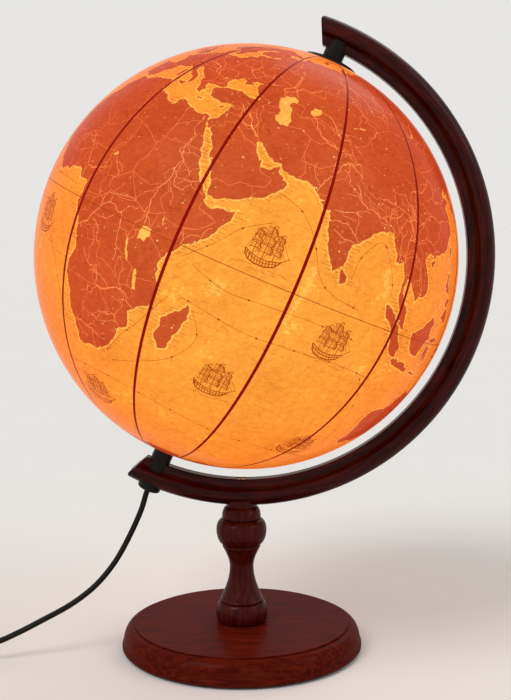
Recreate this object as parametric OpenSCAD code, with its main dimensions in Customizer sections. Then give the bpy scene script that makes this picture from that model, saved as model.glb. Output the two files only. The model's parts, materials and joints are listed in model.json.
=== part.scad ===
// Illuminated terrestrial globe on a turned wooden stand, with its flex, switch and plug.
// The origin is the middle of the felt's lower face and +Z is up.
// The meridian arm stands in the XZ plane, and the polar axis leans towards +X.

/* [Globe] */
// Diameter of the globe
globe_d = 320; // [280:1:380]
// Wall of the two half shells
shell_t = 1.4; // [1:0.1:2.5]
// Lean of the polar axis from the vertical
axis_tilt = 23.5; // [20:0.5:26]
// How far the lap ring reaches to each side of the equator
lap_h = 6; // [4:0.5:9]
// Thickness of the lap ring
lap_t = 1.2; // [0.8:0.1:2]

/* [Pole cap and sprung pivot] */
// Diameter of the disc on the north pole
cap_d = 41; // [34:0.5:50]
// Height of the disc's middle above the globe
cap_h = 2.6; // [2:0.1:4]
// Thickness of the disc's rim
cap_rim_t = 0.9; // [0.6:0.1:1.4]
// Diameter of the cap's boss inside the shell
boss_d = 14; // [10:0.5:18]
// Depth of the boss below the globe's surface
boss_h = 9; // [8:0.5:14]
// Diameter of the steel pivot pin
pin_d = 6; // [5:0.5:8]
// Depth of the pin's end below the globe's surface
pin_depth = 4.2; // [3:0.1:6]
// Diameter of the black plunger that carries the pin
plunger_d = 15.7; // [14:0.1:17]
// Length of the plunger
plunger_l = 13.4; // [12:0.1:14]
// Thickness of the plunger's floor
plunger_floor = 4.4; // [3:0.1:6]
// Running gap between the plunger and the pole cap
plunger_gap = 0.5; // [0.3:0.1:1]
// Travel of the plunger
plunger_travel = 7; // [6.9:0.1:7.2]
// Mean diameter of the pivot spring
spring_d = 7.2; // [6.4:0.1:7.6]
// Wire of the pivot spring
spring_wire = 0.8; // [0.5:0.1:1]
// Number of turns in the spring
spring_turns = 6; // [4:1:8]

/* [Meridian arm] */
// Gap between the globe and the arm's inner edge
arm_gap = 10.4; // [9:0.1:14]
// Width of the arm, seen from the front
arm_w = 20.9; // [19:0.1:26]
// Depth of the arm, front to back
arm_depth = 22; // [20:0.5:28]
// Width of the narrow inner rib
rib_w = 5; // [3:0.1:6]
// Depth of the inner rib, front to back
rib_depth = 11; // [9:0.5:13]
// Width of the hollow moulding between the rib and the bead
cove_w = 3.2; // [2:0.1:4]
// Width of the rounded bead
bead_w = 2.8; // [2:0.1:3.5]
// Shift of the arm's centre from the globe's, towards the open side
arm_shift = 3.3; // [0:0.1:4]
// How far the arm's inner edge runs past the polar axis
end_over = 10.8; // [9:0.1:16]
// Slant of the arm's end faces
end_slant = 26; // [10:1:35]
// Rounding of the arm's outer corners
end_round = 3.4; // [2:0.1:5]

/* [Stand] */
// Distance of the globe's centre from the column's axis
globe_offset = 5; // [3:0.5:8]
// Diameter of the felt
felt_d = 174; // [120:1:180]
// Thickness of the felt
felt_t = 1.5; // [1:0.1:3]
// Diameter of the base
base_d = 188; // [170:1:230]
// Height of the wooden base
base_h = 19.3; // [18:0.1:28]
// Height of the bottom bead
base_bead_h = 4.7; // [3:0.1:7]
// Diameter of the base's flat top
base_top_d = 167.6; // [120:0.2:176]
// Height of the small step around the top
base_step_h = 1.3; // [0.8:0.1:2.5]
// Width of the small step around the top
base_step_w = 1.6; // [1:0.1:3]
// Height of the column between the base and the arm
column_h = 92.9; // [80:0.1:130]
// Widest diameter of the column's foot
foot_d = 40.6; // [34:0.2:50]
// Diameter of the foot where it meets the base
foot_seat_d = 35.2; // [28:0.2:40]
// Height of the foot up to its ring
foot_h = 16.2; // [12:0.2:20]
// Narrowest diameter of the waist
waist_d = 18.6; // [15:0.2:24]
// Height of the narrowest place above the base
waist_z = 43.7; // [30:0.1:48]
// Diameter of the ball
ball_d = 39.4; // [32:0.2:46]
// Height of the ball
ball_h = 20.2; // [16:0.2:26]
// Diameter of the rings above and below the ball
ring_d = 28.8; // [24:0.2:32]
// Height of the ring under the ball
ring_h = 2.7; // [2:0.1:4]
// Height of the cup above the ball
cup_h = 10.8; // [8:0.1:14]
// Diameter of the neck under the arm
neck_d = 22.8; // [20:0.2:26]
// How far the neck's saddle wraps the arm
saddle_h = 4.5; // [2:0.1:6]
// Diameter of the tenon on the column's foot
tenon_d = 16; // [12:0.5:20]
// Length of the tenon
tenon_h = 8; // [6:0.5:9]

/* [Fixings] */
// Diameter of the wood screws
screw_d = 4.5; // [4:0.5:5]
// Diameter of the screw heads
screw_head_d = 8.6; // [7.6:0.2:9.4]
// Length of the screw from the base into the column
base_screw_l = 50; // [40:1:60]
// Length of the screw from the arm into the column
arm_screw_l = 58; // [45:1:70]
// Diameter of the washer under the base
washer_d = 18; // [14:0.5:24]
// Thickness of that washer
washer_t = 1.2; // [0.8:0.1:2]
// Depth of the recess for the screw head under the base
recess_h = 6; // [5.5:0.1:8]
// Radial play around screws and in recesses
play = 0.3; // [0.2:0.05:0.5]
// Radial running clearance of pins, tube and plunger
run = 0.06; // [0.03:0.01:0.09]

/* [Lamp] */
// Diameter of the lamp tube
tube_d = 10; // [9:0.5:11]
// Bore of the lamp tube
tube_bore = 7; // [6:0.5:8]
// Reach of the tube into the globe, from the globe's surface
tube_reach = 48; // [40:1:60]
// Running space between the globe and the fixed bush
bush_gap = 3.1; // [2.5:0.1:4]
// Diameter of the fixed bush in the arm
bush_d = 15.7; // [14:0.1:16.4]
// Depth of the bush in the arm
bush_seat = 9.3; // [7:0.1:10]
// Wood left between the bush and the nut
web_t = 4; // [3:0.1:4.6]
// Width across the flats of the tube nut
nut_af = 12; // [11.5:0.1:12.6]
// Thickness of the tube nut
nut_t = 3; // [2.5:0.1:3.4]
// Diameter of the cord bush under the arm
gland_d = 18.2; // [17.4:0.1:20]
// Depth of the cord bush's seat in the arm's back
gland_sink = 5.2; // [4.4:0.1:5.4]
// How far the cord bush stands out of the arm
gland_h = 3.6; // [3:0.1:6]
// Diameter of the lampholder
holder_d = 26; // [24:0.5:32]
// Height of the lampholder's lower cap
holder_cap_h = 20; // [17:0.5:24]
// Height of the lampholder's sleeve
holder_sleeve_h = 32; // [28:0.5:36]
// Wall of the lampholder
holder_t = 2; // [1.5:0.1:2.4]
// Diameter of the lamp's screw cap
bulb_base_d = 13.6; // [13:0.1:14]
// Height of the lamp's screw cap
bulb_base_h = 17; // [15:0.5:20]
// Diameter of the lamp's glass
bulb_d = 45; // [38:0.5:52]
// Height of the glass above the screw cap
bulb_h = 58; // [50:0.5:66]
// Wall of the lamp's glass
glass_t = 0.8; // [0.5:0.1:1.2]

/* [Flex, switch and plug] */
// Diameter of the flex
cord_d = 4.4; // [3.6:0.1:5]
// Mean radius of the coil
coil_r = 25; // [22:0.5:28]
// Turns of the coil side by side
coil_turns = 4; // [2:1:5]
// Layers of turns in the coil
coil_layers = 2; // [1:1:3]
// Length of the switch
switch_l = 60; // [54:1:70]
// Width of the switch
switch_w = 24; // [22:0.5:30]
// Height of the switch
switch_h = 18; // [16:0.5:22]
// Wall of the switch
switch_t = 1.8; // [1.4:0.1:2.4]
// Length of the rocker
rocker_l = 20; // [16:0.5:24]
// Width of the rocker
rocker_w = 11; // [9:0.5:12]
// Tilt of the rocker to each side
rocker_tilt = 8; // [5:0.5:10]
// Diameter of the rocker's pivots
rocker_pin_d = 3; // [2.4:0.1:3.6]
// Width of the plug's body
plug_w = 35; // [32:0.5:36]
// Thickness of the plug's body
plug_t = 13.7; // [12:0.1:15]
// Length of the plug's body
plug_l = 36; // [32:0.5:40]
// Length of the plug's cord guard
guard_l = 24; // [20:0.5:30]
// Diameter of the plug's pins
plug_pin_d = 4; // [3.8:0.1:4.4]
// Length of the plug's pins
plug_pin_l = 19; // [17:0.5:20]
// Distance between the plug's pins
plug_pitch = 18.6; // [17:0.1:19.2]

/* [Hidden] */
$fn = 96;
eps = 0.01;
big = 400;

wood = [0.23, 0.07, 0.03];
dark_wood = [0.16, 0.05, 0.03];
black = [0.05, 0.045, 0.045];
steel = [0.72, 0.72, 0.74];
brass = [0.78, 0.6, 0.28];
paper = [0.98, 0.62, 0.2];

// Radii and heights that follow from the sizes above
globe_r = globe_d / 2;
shell_r = globe_r - shell_t;
arm_in_r = globe_r + arm_gap;
arm_out_r = arm_in_r + arm_w;
base_top = felt_t + base_h;
globe_z = base_top + column_h + arm_out_r;
arm_x = globe_offset - arm_shift;

// Height of a circle about the arm's centre, x to the open side of the polar axis.
// side is 1 at the north pole and -1 at the south pole.
function arm_at(r, x, side) =
    sqrt(r * r - pow(x - arm_shift * cos(axis_tilt), 2)) - side * arm_shift * sin(axis_tilt);

// Along the north half of the axis
cap_top = globe_r + cap_h;
plunger_low = cap_top + plunger_gap;
plunger_top = plunger_low + plunger_l;
plunger_bore = plunger_top + plunger_travel + play;
pocket_low = plunger_low + plunger_floor;
pin_head_t = 1;
pin_head_r = pin_d / 2 + 1.3;
pocket_r = max(pin_head_r, (spring_d + spring_wire) / 2) + play;
pin_tip = globe_r - pin_depth;

// Along the south half of the axis
bush_top = globe_r + bush_gap;
bush_end = arm_at(arm_in_r, 0, -1) + bush_seat;
nut_seat = bush_end + web_t;
tube_washer_t = 1.5;
nut_r = nut_af / 2 / cos(30);
nut_bore_r = nut_r + play / 2;
nut_end = nut_seat + tube_washer_t + nut_t;
gland_seat = arm_at(arm_out_r, 0, -1) - gland_sink;
gland_end = arm_at(arm_out_r, 0, -1) + gland_h;
tube_end = gland_end - 2.8;
tube_top = globe_r - tube_reach;

// Lamp, measured from the globe's centre down the south half of the axis
holder_low = tube_top + 14;
holder_split = holder_low - holder_cap_h;
holder_top = holder_split - holder_sleeve_h;
core_t = 6;
core_low = holder_split + 4;
well_floor = core_low - core_t;
bulb_low = well_floor - 2;
bulb_base_top = bulb_low - bulb_base_h;
bulb_top = bulb_base_top - bulb_h;
bulb_mid = bulb_top + bulb_d / 2;

// A point of the polar axis, measured down its south half
function axis_point(d) = [globe_offset - sin(axis_tilt) * d, 0, globe_z - cos(axis_tilt) * d];

// Routes of the flex from the cord bush to the plug. They follow the cord bush where
// the sizes of the globe, the stand or the tilt are changed.
cord_out = axis_point(gland_end)[0] + 73;
cord_high = axis_point(gland_end)[2] / 125;
cord_low = cord_d / 2 + 0.15;
switch_split = switch_h / 2;
function hang(x, y, z) = [x + cord_out, y, z * cord_high];
function lay(x, y, z) = [x + cord_out, y, z];
lead_route = [axis_point(tube_end - 1.5), axis_point(gland_end + 4), hang(-79, -1, 108), hang(-88, -4, 88),
              hang(-98, -8, 70), hang(-109, -13, 56), hang(-120, -17, 46), hang(-134, -23, 37),
              hang(-153, -31, 28), hang(-168, -36, 21), hang(-183, -41, 15), lay(-198, -46, 11),
              lay(-212, -51, switch_split), lay(-226, -56, switch_split)];
turn_r = coil_r + (coil_turns - 1) / 2 * cord_d;
coil_y = 2;
link_route = [lay(-278, -75, switch_split), lay(-292, -80.2, 8), lay(-307, -82, 5.5), lay(-322, -77, 3),
              lay(-332, -65, cord_low), lay(-332.5, -51, cord_low), lay(-324, -38, cord_low),
              lay(-309, -31.5, cord_low), lay(-290, coil_y - turn_r, cord_low),
              lay(-266, coil_y - turn_r, cord_low), lay(-242, coil_y - turn_r, cord_low)];
tail_route = [lay(-234, coil_y + turn_r, (coil_layers - 0.5) * cord_d), lay(-246, coil_y + turn_r, 6.7),
              lay(-258, 34.6, plug_t / 2), lay(-270, 35, plug_t / 2), lay(-269.5 - guard_l / 2, 35, plug_t / 2)];
coil_place = lay(-238, coil_y, 0);
switch_place = lay(-252, -65.5, 0);
switch_turn = 200;
plug_place = lay(-270 - guard_l - plug_l, 35, plug_t / 2);
plug_turn = -90;

module pole_frame(side)
{
    translate([globe_offset, 0, globe_z])
        rotate([0, side > 0 ? axis_tilt : axis_tilt + 180, 0])
            mirror([side > 0 ? 1 : 0, 0, 0])
                children();
}

// A plain round bar from z0 to z1
module bar(r, z0, z1)
{
    translate([0, 0, min(z0, z1)])
        cylinder(r = r, h = abs(z1 - z0));
}

// A round bar with a bore
module pipe(r, bore, z0, z1)
{
    difference()
    {
        bar(r, z0, z1);
        bar(bore, min(z0, z1) - 1, max(z0, z1) + 1);
    }
}

// Points of a smooth stretch of a turned profile, from [r, z] a to b.
// "out" bulges, "in" hollows, starting along the radius or along the height.
function quarter_up(a, b, n = 8) =
    [for (i = [0 : n]) let (t = 90 * i / n)
        [a[0] + (b[0] - a[0]) * sin(t), a[1] + (b[1] - a[1]) * (1 - cos(t))]];
function quarter_out(a, b, n = 8) =
    [for (i = [0 : n]) let (t = 90 * i / n)
        [a[0] + (b[0] - a[0]) * (1 - cos(t)), a[1] + (b[1] - a[1]) * sin(t)]];

// The same between two points, with the height in even steps.
// "ease_in" is upright at a, "ease_out" is upright at b.
function ease_in(a, b, n = 8) =
    [for (i = [0 : n]) let (u = i / n)
        [a[0] + (b[0] - a[0]) * (1 - cos(90 * u)), a[1] + (b[1] - a[1]) * u]];
function ease_out(a, b, n = 8) =
    [for (i = [0 : n]) let (u = i / n)
        [a[0] + (b[0] - a[0]) * sin(90 * u), a[1] + (b[1] - a[1]) * u]];
function bead(r, low, h, n = 6) =
    [for (i = [0 : n]) let (t = 180 * i / n)
        [r + h / 3 * sin(t), low + h / 2 * (1 - cos(t))]];
function backwards(list) = [for (i = [len(list) - 1 : -1 : 0]) list[i]];

// Sweep of a round tube along a smooth curve through hand-chosen points
function unit(v) = v / norm(v);
function spline_at(p, i, t) =
    let (a = p[max(i - 1, 0)], b = p[i], c = p[i + 1], d = p[min(i + 2, len(p) - 1)])
    0.5 * (2 * b + (c - a) * t + (2 * a - 5 * b + 4 * c - d) * t * t + (3 * b - a - 3 * c + d) * t * t * t);
function smooth_route(p, steps) =
    concat([for (i = [0 : len(p) - 2], k = [0 : steps - 1]) spline_at(p, i, k / steps)], [p[len(p) - 1]]);
function headings(p) =
    [for (i = [0 : len(p) - 1]) unit(p[min(i + 1, len(p) - 1)] - p[max(i - 1, 0)])];
function side_vectors(t, i, last) =
    i >= len(t) ? [] :
    let (v = unit(last - (last * t[i]) * t[i]))
    concat([v], side_vectors(t, i + 1, v));

module flex(route, steps, sides = 10)
{
    line = smooth_route(route, steps);
    along = headings(line);
    across = side_vectors(along, 0, [0.1, 0.2, 1]);
    rings = len(line);
    points = [for (i = [0 : rings - 1], j = [0 : sides - 1])
        let (a = 360 * j / sides)
        line[i] + cord_d / 2 * (cos(a) * across[i] + sin(a) * cross(along[i], across[i]))];
    walls = [for (i = [0 : rings - 2], j = [0 : sides - 1])
        let (k = (j + 1) % sides)
        [i * sides + j, (i + 1) * sides + j, (i + 1) * sides + k, i * sides + k]];
    start = [for (j = [0 : sides - 1]) j];
    end = [for (j = [sides - 1 : -1 : 0]) (rings - 1) * sides + j];
    polyhedron(points, concat([start], walls, [end]));
}

// Stand
module felt_pad()
{
    color([0.12, 0.25, 0.15])
        cylinder(d = felt_d, h = felt_t);
}

module base_disc()
{
    r = base_d / 2;
    top_r = base_top_d / 2;
    bead_top = felt_t + base_bead_h;
    quirk = 1;
    color(wood)
        difference()
        {
            rotate_extrude()
                polygon(concat(
                    [[0, felt_t], [r - 1.5, felt_t], [r, felt_t + 1.5], [r, bead_top - quirk],
                     [r - quirk, bead_top]],
                    quarter_out([r - quirk, bead_top + quirk / 2], [top_r + base_step_w, base_top - base_step_h]),
                    [[top_r, base_top - base_step_h], [top_r, base_top - 0.3], [top_r - 0.3, base_top],
                     [0, base_top]]));
            bar(washer_d / 2 + play, 0, felt_t + recess_h);
            bar(screw_d / 2 + play, 0, base_top);
            bar(tenon_d / 2, base_top - tenon_h, base_top + 1);
        }
}

module base_washer()
{
    color(steel)
        pipe(washer_d / 2, screw_d / 2 + play, felt_t + recess_h - washer_t, felt_t + recess_h);
}

// A wood screw along +Z from the seat of its head, with the head below
module wood_screw(length, countersunk)
{
    head_h = countersunk ? (screw_head_d - screw_d) / 2 : 2.8;
    tip_h = 6;
    difference()
    {
        union()
        {
            if (countersunk)
                cylinder(r1 = screw_head_d / 2, r2 = screw_d / 2, h = head_h);
            else
                rotate_extrude()
                    polygon(concat([[0, -head_h]],
                        quarter_up([screw_head_d / 2 - 2, -head_h], [screw_head_d / 2, 0], 5), [[0, 0]]));
            bar(screw_d / 2, 0, length - tip_h);
            translate([0, 0, length - tip_h])
                cylinder(r1 = screw_d / 2, r2 = 0.3, h = tip_h);
        }
        slot_low = countersunk ? 0 : -head_h;
        for (turn = [0, 90])
            rotate([0, 0, turn])
                translate([-screw_head_d / 4, -0.5, slot_low - 1])
                    cube([screw_head_d / 2, 1, 2.4]);
    }
}

module base_screw()
{
    color(steel)
        translate([0, 0, felt_t + recess_h - washer_t])
            wood_screw(base_screw_l, false);
}

arm_screw_z = globe_z - sqrt(arm_in_r * arm_in_r - arm_x * arm_x) - 0.5;

module arm_screw()
{
    color(brass)
        translate([0, 0, arm_screw_z])
            mirror([0, 0, 1])
                wood_screw(arm_screw_l, true);
}

module column()
{
    foot_r = foot_d / 2;
    seat_r = foot_seat_d / 2;
    ring_r = ring_d / 2;
    neck_r = neck_d / 2;
    shoulder_r = waist_d / 2 + (foot_r - waist_d / 2) * 0.65;
    belly_h = 5.5;
    foot_ring_h = 2.2;
    cup_low = column_h - cup_h;
    ball_low = cup_low - ball_h;
    ball_mid = ball_low + ball_h * 0.58;
    ring_low = ball_low - ring_h;
    cup_lip = 2;
    color(wood)
        difference()
        {
            translate([0, 0, base_top])
                rotate_extrude()
                    polygon(concat(
                        [[0, -tenon_h], [tenon_d / 2 - 0.6, -tenon_h], [tenon_d / 2, 0.6 - tenon_h],
                         [tenon_d / 2, 0]],
                        quarter_up([seat_r, 0], [foot_r, belly_h]),
                        quarter_out([foot_r, belly_h + eps], [shoulder_r, foot_h]),
                        bead(shoulder_r, foot_h + eps, foot_ring_h),
                        ease_out([shoulder_r, foot_h + foot_ring_h + 2 * eps], [waist_d / 2, waist_z], 12),
                        ease_in([waist_d / 2, waist_z + eps], [ring_r, ring_low - eps], 10),
                        bead(ring_r - 0.4, ring_low, ring_h),
                        quarter_up([ring_r - 0.4, ball_low + eps], [ball_d / 2, ball_mid]),
                        quarter_out([ball_d / 2, ball_mid + eps], [ring_r, cup_low]),
                        [[ring_r + 0.7, cup_low + cup_lip / 2]],
                        quarter_out([ring_r + 0.7, cup_low + cup_lip], [neck_r, column_h - 1]),
                        [[neck_r - 0.3, column_h + saddle_h], [0, column_h + saddle_h]]));
            bar(screw_d / 2, 0, felt_t + recess_h - washer_t + base_screw_l);
            bar(screw_d / 2, arm_screw_z - arm_screw_l, base_top + column_h + saddle_h + 1);
            arm_sweep();
        }
}

// Section of the arm: a narrow inner rib, a hollow, a bead and a rounded back
function arm_half() =
    let (rib = rib_depth / 2, deep = arm_depth / 2, cove_r = arm_in_r + rib_w,
         bead_r = cove_r + cove_w, lip = 1.6, fillet = 0.5, edge = 0.8, back = 1.2)
    concat(
        [[arm_in_r, rib - edge], [arm_in_r + edge, rib]],
        quarter_up([cove_r, rib], [bead_r, deep - lip - fillet], 6),
        quarter_out([bead_r, deep - lip], [bead_r + bead_w, deep], 5),
        quarter_up([bead_r + bead_w + 0.4, deep], [arm_out_r, back], 9));

module arm_sweep()
{
    past = 14;
    half = arm_half();
    translate([arm_x, 0, globe_z])
        rotate([90, 0, 0])
            rotate([0, 0, -90 - axis_tilt - past])
                rotate_extrude(angle = 180 + 2 * past)
                    polygon(concat(half, [for (p = backwards(half)) [p[0], -p[1]]]));
}

// What is sawn and rounded off one end of the arm, in the frame of that pole
module arm_end_cut(side)
{
    a_in = arm_at(arm_in_r, end_over, side);
    slope = tan(end_slant);
    normal = [cos(end_slant), -sin(end_slant)];
    along = [sin(end_slant), cos(end_slant)];
    start = [end_over, a_in];
    a_out = arm_at(arm_out_r, end_over + arm_w * slope - 1.6 * end_round, side);
    below = start - 14 * along;
    above = start + 45 * along;
    rotate([90, 0, 0])
        linear_extrude(arm_depth + 4, center = true)
        {
            polygon([below, above, [end_over + 150, above[1]], [end_over + 150, below[1]]]);
            for (corner = [[a_out, end_round, 1], [a_in, end_round / 2, -1]])
            {
                z = corner[0] - corner[2] * corner[1];
                x = end_over + (z - a_in) * slope - corner[1] / cos(end_slant);
                difference()
                {
                    polygon([[x, z], [x, corner[0] + 3 * corner[2]],
                             [end_over + (corner[0] - a_in) * slope + 5, corner[0] + 3 * corner[2]],
                             [x, z] + (corner[1] + 4) * normal]);
                    translate([x, z])
                        circle(corner[1]);
                }
            }
        }
}

module meridian_arm()
{
    color(dark_wood)
        difference()
        {
            arm_sweep();
            for (side = [1, -1])
                pole_frame(side)
                    arm_end_cut(side);
            pole_frame(1)
                bar(plunger_d / 2 + run, globe_r, plunger_bore);
            pole_frame(-1)
            {
                bar(bush_d / 2, globe_r, bush_end);
                bar(tube_d / 2 + play, bush_end - 1, nut_seat + 1);
                bar(nut_bore_r, nut_seat, gland_seat + 1);
                bar(gland_d / 2 + play / 2, gland_seat, gland_end + 6);
            }
            bar(screw_d / 2 + play, base_top + column_h - 5, arm_screw_z);
            translate([0, 0, arm_screw_z - (screw_head_d - screw_d) / 2])
                cylinder(r1 = screw_d / 2, r2 = screw_head_d / 2, h = (screw_head_d - screw_d) / 2);
            bar(screw_head_d / 2, arm_screw_z, arm_screw_z + 6);
        }
}

// Globe
module half_shell()
{
    difference()
    {
        sphere(globe_r);
        sphere(shell_r);
        translate([-big, -big, -2 * big])
            cube(2 * big);
    }
}

module north_shell()
{
    color(paper)
        pole_frame(1)
            difference()
            {
                half_shell();
                bar(boss_d / 2, shell_r - 5, globe_r + 1);
            }
}

// Points on the globe's surface, as [distance from the axis, height], from radius a to b
function on_globe(a, b, n) =
    [for (i = [0 : n]) let (r = a + (b - a) * i / n) [r, sqrt(globe_r * globe_r - r * r) + eps]];

// The lap ring stands inside both halves and is moulded to the southern one.
ring_out_r = sqrt(shell_r * shell_r - lap_h * lap_h) - play / 4;
barrel_r = tube_d / 2 + 1.6;

module south_shell()
{
    middle = shell_r + shell_t / 2;
    color(paper)
        pole_frame(-1)
        {
            difference()
            {
                half_shell();
                bar(barrel_r, shell_r - 5, globe_r + 1);
            }
            rotate_extrude()
                polygon([[ring_out_r - lap_t, -lap_h], [ring_out_r, -lap_h], [ring_out_r, 0], [middle, 0],
                         [middle, lap_h], [ring_out_r - lap_t, lap_h]]);
        }
}

module pole_cap()
{
    rim_r = cap_d / 2;
    rim_z = sqrt(globe_r * globe_r - rim_r * rim_r);
    hub_r = plunger_d / 2 + 1;
    color(black)
        pole_frame(1)
            difference()
            {
                union()
                {
                    rotate_extrude()
                        polygon(concat(
                            on_globe(0, rim_r, 8),
                            quarter_out([rim_r, rim_z + cap_rim_t / 2], [rim_r - 0.6, rim_z + cap_rim_t], 3),
                            ease_in([rim_r - 1, rim_z + cap_rim_t + 0.1], [hub_r, cap_top], 6),
                            [[0, cap_top]]));
                    bar(boss_d / 2, globe_r - boss_h, globe_r + eps);
                }
                bar(pin_d / 2 + run, pin_tip - 0.8, cap_top + 1);
            }
}

module bearing_ring()
{
    lip_r = barrel_r + 1.2;
    lip_top = sqrt(shell_r * shell_r - lip_r * lip_r);
    color(black)
        pole_frame(-1)
            difference()
            {
                union()
                {
                    rotate_extrude()
                        polygon(concat(on_globe(0, bush_d / 2, 3),
                            [[bush_d / 2, bush_top - 0.1], [0, bush_top - 0.1]]));
                    bar(barrel_r, lip_top - 2, globe_r + 1);
                    bar(lip_r, lip_top - 2.4, lip_top);
                }
                bar(tube_d / 2 + run, lip_top - 4, bush_top + 1);
            }
}

// Sprung pivot at the north pole
module pole_plunger()
{
    color(black)
        pole_frame(1)
            difference()
            {
                bar(plunger_d / 2, plunger_low, plunger_top);
                bar(pin_d / 2, plunger_low - 1, plunger_top);
                bar(pocket_r, pocket_low, plunger_top + 1);
            }
}

module pivot_pin()
{
    round_h = 1;
    color(steel)
        pole_frame(1)
        {
            bar(pin_d / 2, pin_tip + round_h, pocket_low);
            translate([0, 0, pin_tip])
                cylinder(r1 = pin_d / 2 - round_h, r2 = pin_d / 2, h = round_h);
            bar(pin_head_r, pocket_low, pocket_low + pin_head_t);
        }
}

module pivot_spring()
{
    sides = 6;
    per_turn = 14;
    low = pocket_low + pin_head_t + spring_wire / 2;
    high = plunger_bore - spring_wire / 2;
    rings = spring_turns * per_turn;
    points = [for (i = [0 : rings], j = [0 : sides - 1])
        let (turn = 360 * i / per_turn, a = 360 * j / sides,
             r = spring_d / 2 + spring_wire / 2 * cos(a),
             z = low + (high - low) * i / rings + spring_wire / 2 * sin(a))
        [r * cos(turn), r * sin(turn), z]];
    walls = [for (i = [0 : rings - 1], j = [0 : sides - 1])
        let (k = (j + 1) % sides)
        [i * sides + j, i * sides + k, (i + 1) * sides + k, (i + 1) * sides + j]];
    start = [for (j = [sides - 1 : -1 : 0]) j];
    end = [for (j = [0 : sides - 1]) rings * sides + j];
    color(steel)
        translate([globe_offset, 0, globe_z])
            rotate([0, axis_tilt, 0])
                polyhedron(points, concat([start], walls, [end]));
}

// Lamp
module lamp_bush()
{
    color(black)
        pole_frame(-1)
            pipe(bush_d / 2, tube_d / 2, bush_top, bush_end);
}

module lamp_tube()
{
    color(brass)
        pole_frame(-1)
            pipe(tube_d / 2, tube_bore / 2, tube_top, tube_end);
}

module tube_washer()
{
    color(steel)
        pole_frame(-1)
            pipe(nut_r, tube_d / 2 + play, nut_seat, nut_seat + tube_washer_t);
}

module tube_nut()
{
    color(brass)
        pole_frame(-1)
            translate([0, 0, nut_seat + tube_washer_t])
                difference()
                {
                    cylinder(r = nut_r, h = nut_t, $fn = 6);
                    bar(tube_d / 2, -1, nut_t + 1);
                }
}

module cord_bush()
{
    r = gland_d / 2;
    color(black)
        pole_frame(-1)
            difference()
            {
                rotate_extrude()
                    polygon(concat([[0, gland_seat], [r, gland_seat]],
                        quarter_out([r, gland_end - 2], [r - 3, gland_end]), [[0, gland_end]]));
                bar(nut_bore_r, gland_seat - 1, nut_end + play);
                bar(tube_d / 2, gland_seat - 1, tube_end);
                bar(cord_d / 2, tube_end - 1, gland_end + 1);
            }
}

module inner_leads()
{
    lead_r = 1.1;
    color([0.2, 0.35, 0.6])
        pole_frame(-1)
            for (x = [-1, 1])
                translate([1.4 * x, 0, 0])
                    bar(lead_r, core_low, tube_end - 2);
}

module holder_cap()
{
    r = holder_d / 2;
    neck_r = tube_d / 2 + 2.5;
    color(black)
        pole_frame(-1)
            rotate_extrude()
                polygon([[tube_d / 2, holder_low], [neck_r, holder_low], [neck_r, holder_low - 3],
                         [r - 1, holder_low - 9], [r, holder_low - 10.5], [r, holder_split],
                         [r - holder_t, holder_split], [r - holder_t, holder_low - 11.5],
                         [tube_d / 2, holder_low - 6]]);
}

module holder_core()
{
    color([0.92, 0.9, 0.85])
        pole_frame(-1)
            bar(holder_d / 2 - holder_t, well_floor, core_low);
}

module holder_contact()
{
    color(brass)
        pole_frame(-1)
            bar(2.4, bulb_low, well_floor);
}

thread_r = bulb_base_d / 2 + 0.9;

module holder_thread()
{
    color(brass)
        pole_frame(-1)
            pipe(thread_r, bulb_base_d / 2 + run, bulb_base_top + 2, well_floor);
}

module holder_sleeve()
{
    r = holder_d / 2;
    edge = 0.7;
    color(black)
        pole_frame(-1)
            rotate_extrude()
                polygon([[r - holder_t, holder_top], [r - edge, holder_top], [r, holder_top + edge],
                         [r, holder_split], [r - holder_t, holder_split]]);
}

module bulb_base()
{
    tip_h = 3;
    color(steel)
        pole_frame(-1)
        {
            bar(bulb_base_d / 2, bulb_base_top, bulb_low - tip_h);
            translate([0, 0, bulb_low - tip_h])
                cylinder(r1 = bulb_base_d / 2, r2 = 2.2, h = tip_h);
        }
}

function glass_outline(wall) =
    let (r = bulb_d / 2 - wall, neck = bulb_base_d / 2 - 0.4 - wall, low_angle = 50)
    concat(
        ease_in([neck, bulb_base_top], [r * cos(low_angle), bulb_mid + r * sin(low_angle)], 6),
        [for (a = [low_angle - 7 : -7 : -90]) [r * cos(a), bulb_mid + r * sin(a)]]);

module bulb_glass()
{
    color([1, 0.93, 0.8, 0.5])
        pole_frame(-1)
            rotate_extrude()
                polygon(concat(glass_outline(0), backwards(glass_outline(glass_t))));
}

module bulb_filament()
{
    stem_top = bulb_base_top - 18;
    wire_r = 0.4;
    reach = 6;
    rise = stem_top - bulb_mid;
    lean = atan2(reach, rise);
    color([1, 0.75, 0.35])
        pole_frame(-1)
        {
            bar(2.2, stem_top, bulb_base_top);
            for (x = [-1, 1])
                translate([0, 0, stem_top + 0.5])
                    rotate([0, 180 + x * lean, 0])
                        bar(wire_r, 0, norm([reach, rise]));
            translate([0, 0, bulb_mid + 0.5])
                rotate([90, 0, 180])
                    rotate_extrude(angle = 180)
                        translate([reach, 0])
                            circle(wire_r, $fn = 16);
        }
}

// Flex
module cord_lead()
{
    color(black)
        flex(lead_route, 2);
}

module cord_link()
{
    color(black)
        flex(link_route, 3);
}

module cord_tail()
{
    color(black)
        flex(tail_route, 3);
}

module cord_coil()
{
    color(black)
        translate(coil_place)
            rotate_extrude()
                translate([coil_r - coil_turns * cord_d / 2, 0])
                    square([coil_turns * cord_d, coil_layers * cord_d]);
}

// Switch on the flex, its length along X
module place_switch()
{
    translate(switch_place)
        rotate([0, 0, switch_turn])
            children();
}

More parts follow.
